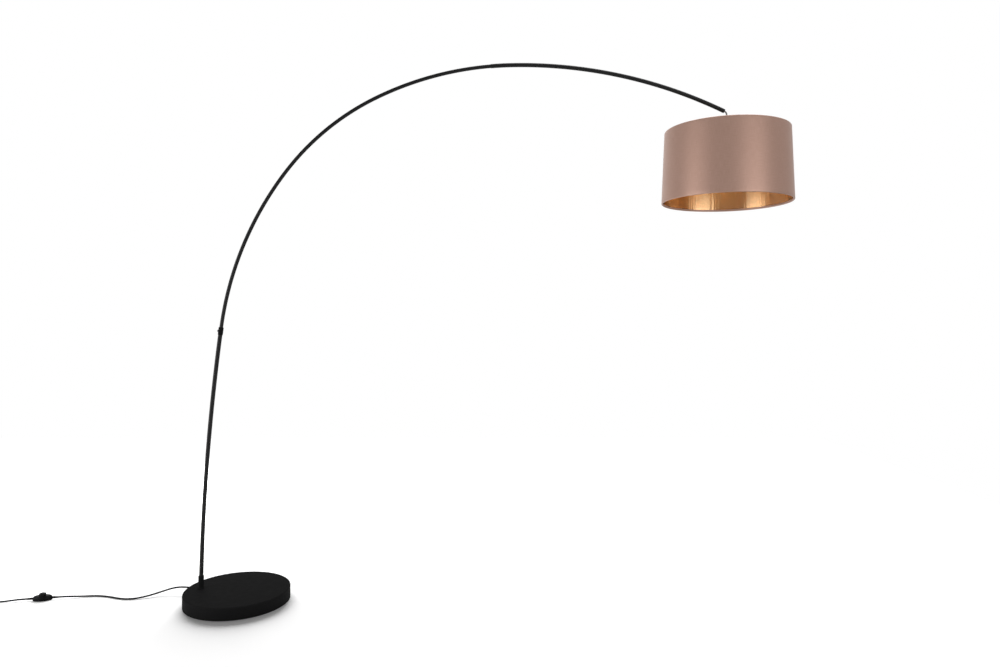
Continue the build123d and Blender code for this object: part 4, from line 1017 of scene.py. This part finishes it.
bare_pins = pair_of_pins(rounded([
    (0, pin_sleeve, 0),
    (pin_radius, pin_sleeve, 0),
    (pin_radius, pin_length, 0.0015),
    (0, pin_length, 0),
]))
bare_pins = dress("plug_pin_tips", bare_pins, "stand", pin_metal, "pin_metal", "plug_pins")
pin_sleeves = pair_of_pins([(0, 0), (sleeve_radius, 0), (sleeve_radius, pin_sleeve), (0, pin_sleeve)])
pin_sleeves = dress("plug_pin_sleeves", pin_sleeves, "stand", plug_black, "plug_plastic")

strap_middle = coil_middle + Vector((-(tie_inner + tie_outer) / 2, 0, coil_low + coil_layer / 2))
strap_levels = [(0, strap_edge), (strap_edge, 0)]
strap_levels += [(tie_thickness - grow, inset) for grow, inset in reversed(strap_levels)]
strap_rings = []
for side, levels in ((-1, strap_levels), (1, strap_levels[::-1])):
    for grow, inset in levels:
        across, up = (tie_outer - tie_inner) / 2 + grow, tie_rise / 2 + grow
        corners = [(across, -up), (across, up), (-across, up), (-across, -up)]
        loop = rounded([(*corner, tie_corner + grow) for corner in corners], steps=8)
        edge_y = side * (tie_width / 2 - inset)
        strap_rings.append([strap_middle + Vector((point.x, edge_y, point.y)) for point in loop])
tie_black = coated(
    "tie_black", (0.015, 0.015, 0.016), 0.75, specular=0.25,
    tones=((700, 4.0, (1, 0.3, 1)), (0.010, 0.010, 0.011), (0.026, 0.026, 0.028)),
    relief=((1500,), 0.0003, 0.7),
)
strap = dress("lead_strap", stacked(strap_rings), "stand", tie_black, "tie_plastic", "coil_tie")

# Mains lead: one black round lead of 6.5 mm, from the gland through the foot switch to the plug.
# It sinks from the gland to the floor and wanders along it; the rest is wound up and tied.
coil_turns, layer_turns, reversal = 5.5, 2.5, 0.5
points_per_turn = 24
straight, stripped_share = 0.032, 0.5
on_floor = lead_radius
tray_dip = Vector((0, 0, -0.0034))
gland_mouth = gland_seat + gland_way * gland_length


def coil_point(turn):
    """Centre of the wound lead after a number of turns, spiralling in and out again."""
    climb = min(max((turn - layer_turns) / reversal, 0.0), 1.0)
    radius = coil_radius - coil_step * min(turn, coil_turns - turn)
    height = coil_low + coil_layer * (1 - math.cos(math.pi * climb)) / 2
    return coil_middle + Vector((*compass(math.radians(90 + 360 * turn), radius), height))


coil_points = round(coil_turns * points_per_turn)
coil_path = [coil_point(index / points_per_turn) for index in range(coil_points + 1)]
coil_begin, coil_finish = coil_path[0], coil_path[-1]
lead_route = [
    gland_mouth - gland_way * 0.004,
    gland_mouth + gland_way * straight,
    Vector((-0.289, 0.077, 0.024)),
    Vector((-0.332, 0.060, 0.013)),
    Vector((-0.374, 0.034, 0.006)),
    Vector((-0.420, 0.013, on_floor)),
    Vector((-0.470, 0.017, on_floor)),
    Vector((-0.522, 0.039, on_floor)),
    Vector((-0.576, 0.050, on_floor)),
    Vector((-0.632, 0.040, on_floor + 0.001)),
]
switch_reaches = [relief_begin, relief_end, relief_end + straight]
lead_route += [switch_line - switch_way * reach for reach in reversed(switch_reaches)]
first_stripped = len(lead_route)
lead_route += [switch_line + switch_way * reach + tray_dip for reach in (-button_radius, button_radius)]
last_stripped = len(lead_route)
lead_route += [switch_line + switch_way * reach for reach in switch_reaches]
lead_route += [
    Vector((-0.898, -0.013, on_floor + 0.001)),
    Vector((-0.940, -0.019, on_floor)),
    Vector((-0.984, -0.025, coil_low)),
    coil_begin + Vector((0.0385, 0, 0)),
    coil_begin + Vector((0.0065, 0, 0)),
    *coil_path,
    coil_finish + Vector((0.0065, 0, 0)),
    coil_finish + Vector((0.0265, 0, 0)),
    coil_finish + Vector((0.0445, -0.003, (tail_end.z - coil_finish.z) * 0.6)),
    tail_end - Vector((0.020, 0, 0)),
    plug_root,
]
lead_curve = bpy.data.curves.new("mains_lead_sheath", "CURVE")
lead_curve.dimensions = "3D"
lead_curve.bevel_depth = lead_radius
lead_curve.bevel_resolution = 6
lead_curve.resolution_u = 6
lead_curve.use_fill_caps = True
spline = lead_curve.splines.new("NURBS")
spline.points.add(len(lead_route) - 1)
for point, place in zip(spline.points, lead_route):
    point.co = (*place, 1)
for point in spline.points[first_stripped:last_stripped]:
    point.radius = stripped_share
spline.order_u = 3
spline.use_endpoint_u = True
lead = bpy.data.objects.new("mains_lead_sheath", lead_curve)
scene.collection.objects.link(lead)
lead_curve.materials.append(lead_black)
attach(lead, "stand")
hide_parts("mains_lead", "plug_lead", "cord_coil", "plug_tail")

# Floor: a pale, square studio sheet of 8 m, laid flat, that shows white to the camera further out.
# It keeps the soft shadow where the base, the lead and the switch touch it.
floor_half = 4.0
white_begin, white_end = 0.25, 1.6
glow_near, glow_far, glow_mirrored = 0.10, 0.95, 0.10


def by_mirror(rays):
    """One for what is seen by way of metal or glass, else nought."""
    return reckon("MAXIMUM", rays["Is Glossy Ray"], rays["Is Transmission Ray"])


floor_mesh = bpy.data.meshes.new("studio_floor")
floor_corners = [(x * floor_half, y * floor_half, 0) for x, y in ((-1, -1), (1, -1), (1, 1), (-1, 1))]
floor_mesh.from_pydata(floor_corners, [], [(0, 1, 2, 3)])
floor = bpy.data.objects.new("studio_floor", floor_mesh)
scene.collection.objects.link(floor)
floor_pale = bpy.data.materials.new("floor_pale")
floor_pale.use_nodes = True
floor_tree = floor_pale.node_tree
floor_tree.nodes.clear()
floor_rays = node(floor_tree, "LightPath", {}).outputs
floor_place = node(floor_tree, "NewGeometry", {}).outputs["Position"]
floor_reach = node(floor_tree, "VectorMath", {0: floor_place}, operation="LENGTH").outputs["Value"]
floor_lift = span(floor_reach, white_begin, white_end, glow_near, glow_far)
floor_mirrored = reckon("MULTIPLY", by_mirror(floor_rays), glow_mirrored)
floor_seen = reckon("ADD", floor_mirrored, floor_rays["Is Camera Ray"])
floor_glow = node(floor_tree, "Emission", {"Strength": reckon("MULTIPLY", floor_seen, floor_lift)})
floor_paint = node(floor_tree, "BsdfDiffuse", {"Color": (0.88, 0.88, 0.88, 1)})
floor_sum = node(floor_tree, "AddShader", {0: floor_paint.outputs[0], 1: floor_glow.outputs[0]})
node(floor_tree, "OutputMaterial", {"Surface": floor_sum.outputs[0]})
floor_mesh.materials.append(floor_pale)

# Studio: a dim room, white straight behind the lamp, and four softboxes, one of them for the floor only.
# Two stand beside the camera, and the gap between them draws the foil's dark bands. One hangs overhead
# and is kept out of the shade's open top. These three are kept off the floor.
dim_front, dim_back = 0.12, 0.30
scene.view_settings.view_transform = "Standard"
room = bpy.data.worlds.new("studio_room")
scene.world = room
room.use_nodes = True
room_tree = room.node_tree
room_tree.nodes.clear()
room_rays = node(room_tree, "LightPath", {}).outputs
room_way = node(room_tree, "TexCoord", {}).outputs["Generated"]
room_back = node(room_tree, "SeparateXYZ", {0: room_way}).outputs["Y"]
room_dim = span(room_back, -0.15, 0.35, dim_front, dim_back)
room_wall = reckon("MULTIPLY", by_mirror(room_rays), span(room_back, 0.25, 0.95, 0.0, 1.0))
room_seen = reckon("MAXIMUM", room_rays["Is Camera Ray"], reckon("MAXIMUM", room_wall, room_dim))
room_light = node(room_tree, "Background", {"Color": (1, 1, 1, 1), "Strength": room_seen})
node(room_tree, "OutputWorld", {"Surface": room_light.outputs[0]})
lamp_middle, base_middle = Vector((0.95, 0.0, 1.2)), Vector((0.0, 0.0, 0.0))
for name, place, (width, height), watts, target, rule, flagged in (
    ("softbox_left", (-2.36, -1.40, 1.35), (2.6, 2.6), 84.0, lamp_middle, "EXCLUDE", [floor]),
    ("softbox_right", (3.94, -3.80, 1.35), (3.1, 2.6), 100.0, lamp_middle, "EXCLUDE", [floor]),
    ("softbox_above", (1.95, 0.40, 4.20), (3.6, 3.0), 110.0, lamp_middle, "EXCLUDE", [floor, lining]),
    ("softbox_floor", (-0.69, 2.19, 1.60), (2.2, 2.2), 155.0, base_middle, "INCLUDE", [floor]),
):
    light = bpy.data.lights.new(name, "AREA")
    light.shape = "RECTANGLE"
    light.size = width
    light.size_y = height
    light.energy = watts
    softbox = bpy.data.objects.new(name, light)
    scene.collection.objects.link(softbox)
    softbox.location = place
    softbox.rotation_euler = (target - Vector(place)).to_track_quat("-Z", "Y").to_euler()
    softbox.visible_camera = False
    flag = bpy.data.collections.new(name + "_flag")
    for piece in flagged:
        flag.objects.link(piece)
    for entry in flag.collection_objects:
        entry.light_linking.link_state = rule
    softbox.light_linking.receiver_collection = flag

# Camera: level, in front of the middle of the arc, at breast height, with a wide lens.
# The lens and the distance come from how much of the base's top and of the shade's inside show.
photo_width, photo_height = 1000, 668
focal_pixels, horizon_pixel = 740.0, 320.0
camera_data = bpy.data.cameras.new("photo_camera")
camera_data.sensor_width = 36.0
camera_data.lens = camera_data.sensor_width * focal_pixels / photo_width
camera_data.shift_y = (horizon_pixel - (photo_height - 1) / 2) / photo_width
camera = bpy.data.objects.new("photo_camera", camera_data)
camera.location = (1.029, -2.9, 1.10)
camera.rotation_euler = (math.radians(90), 0, 0)
scene.collection.objects.link(camera)
scene.camera = camera
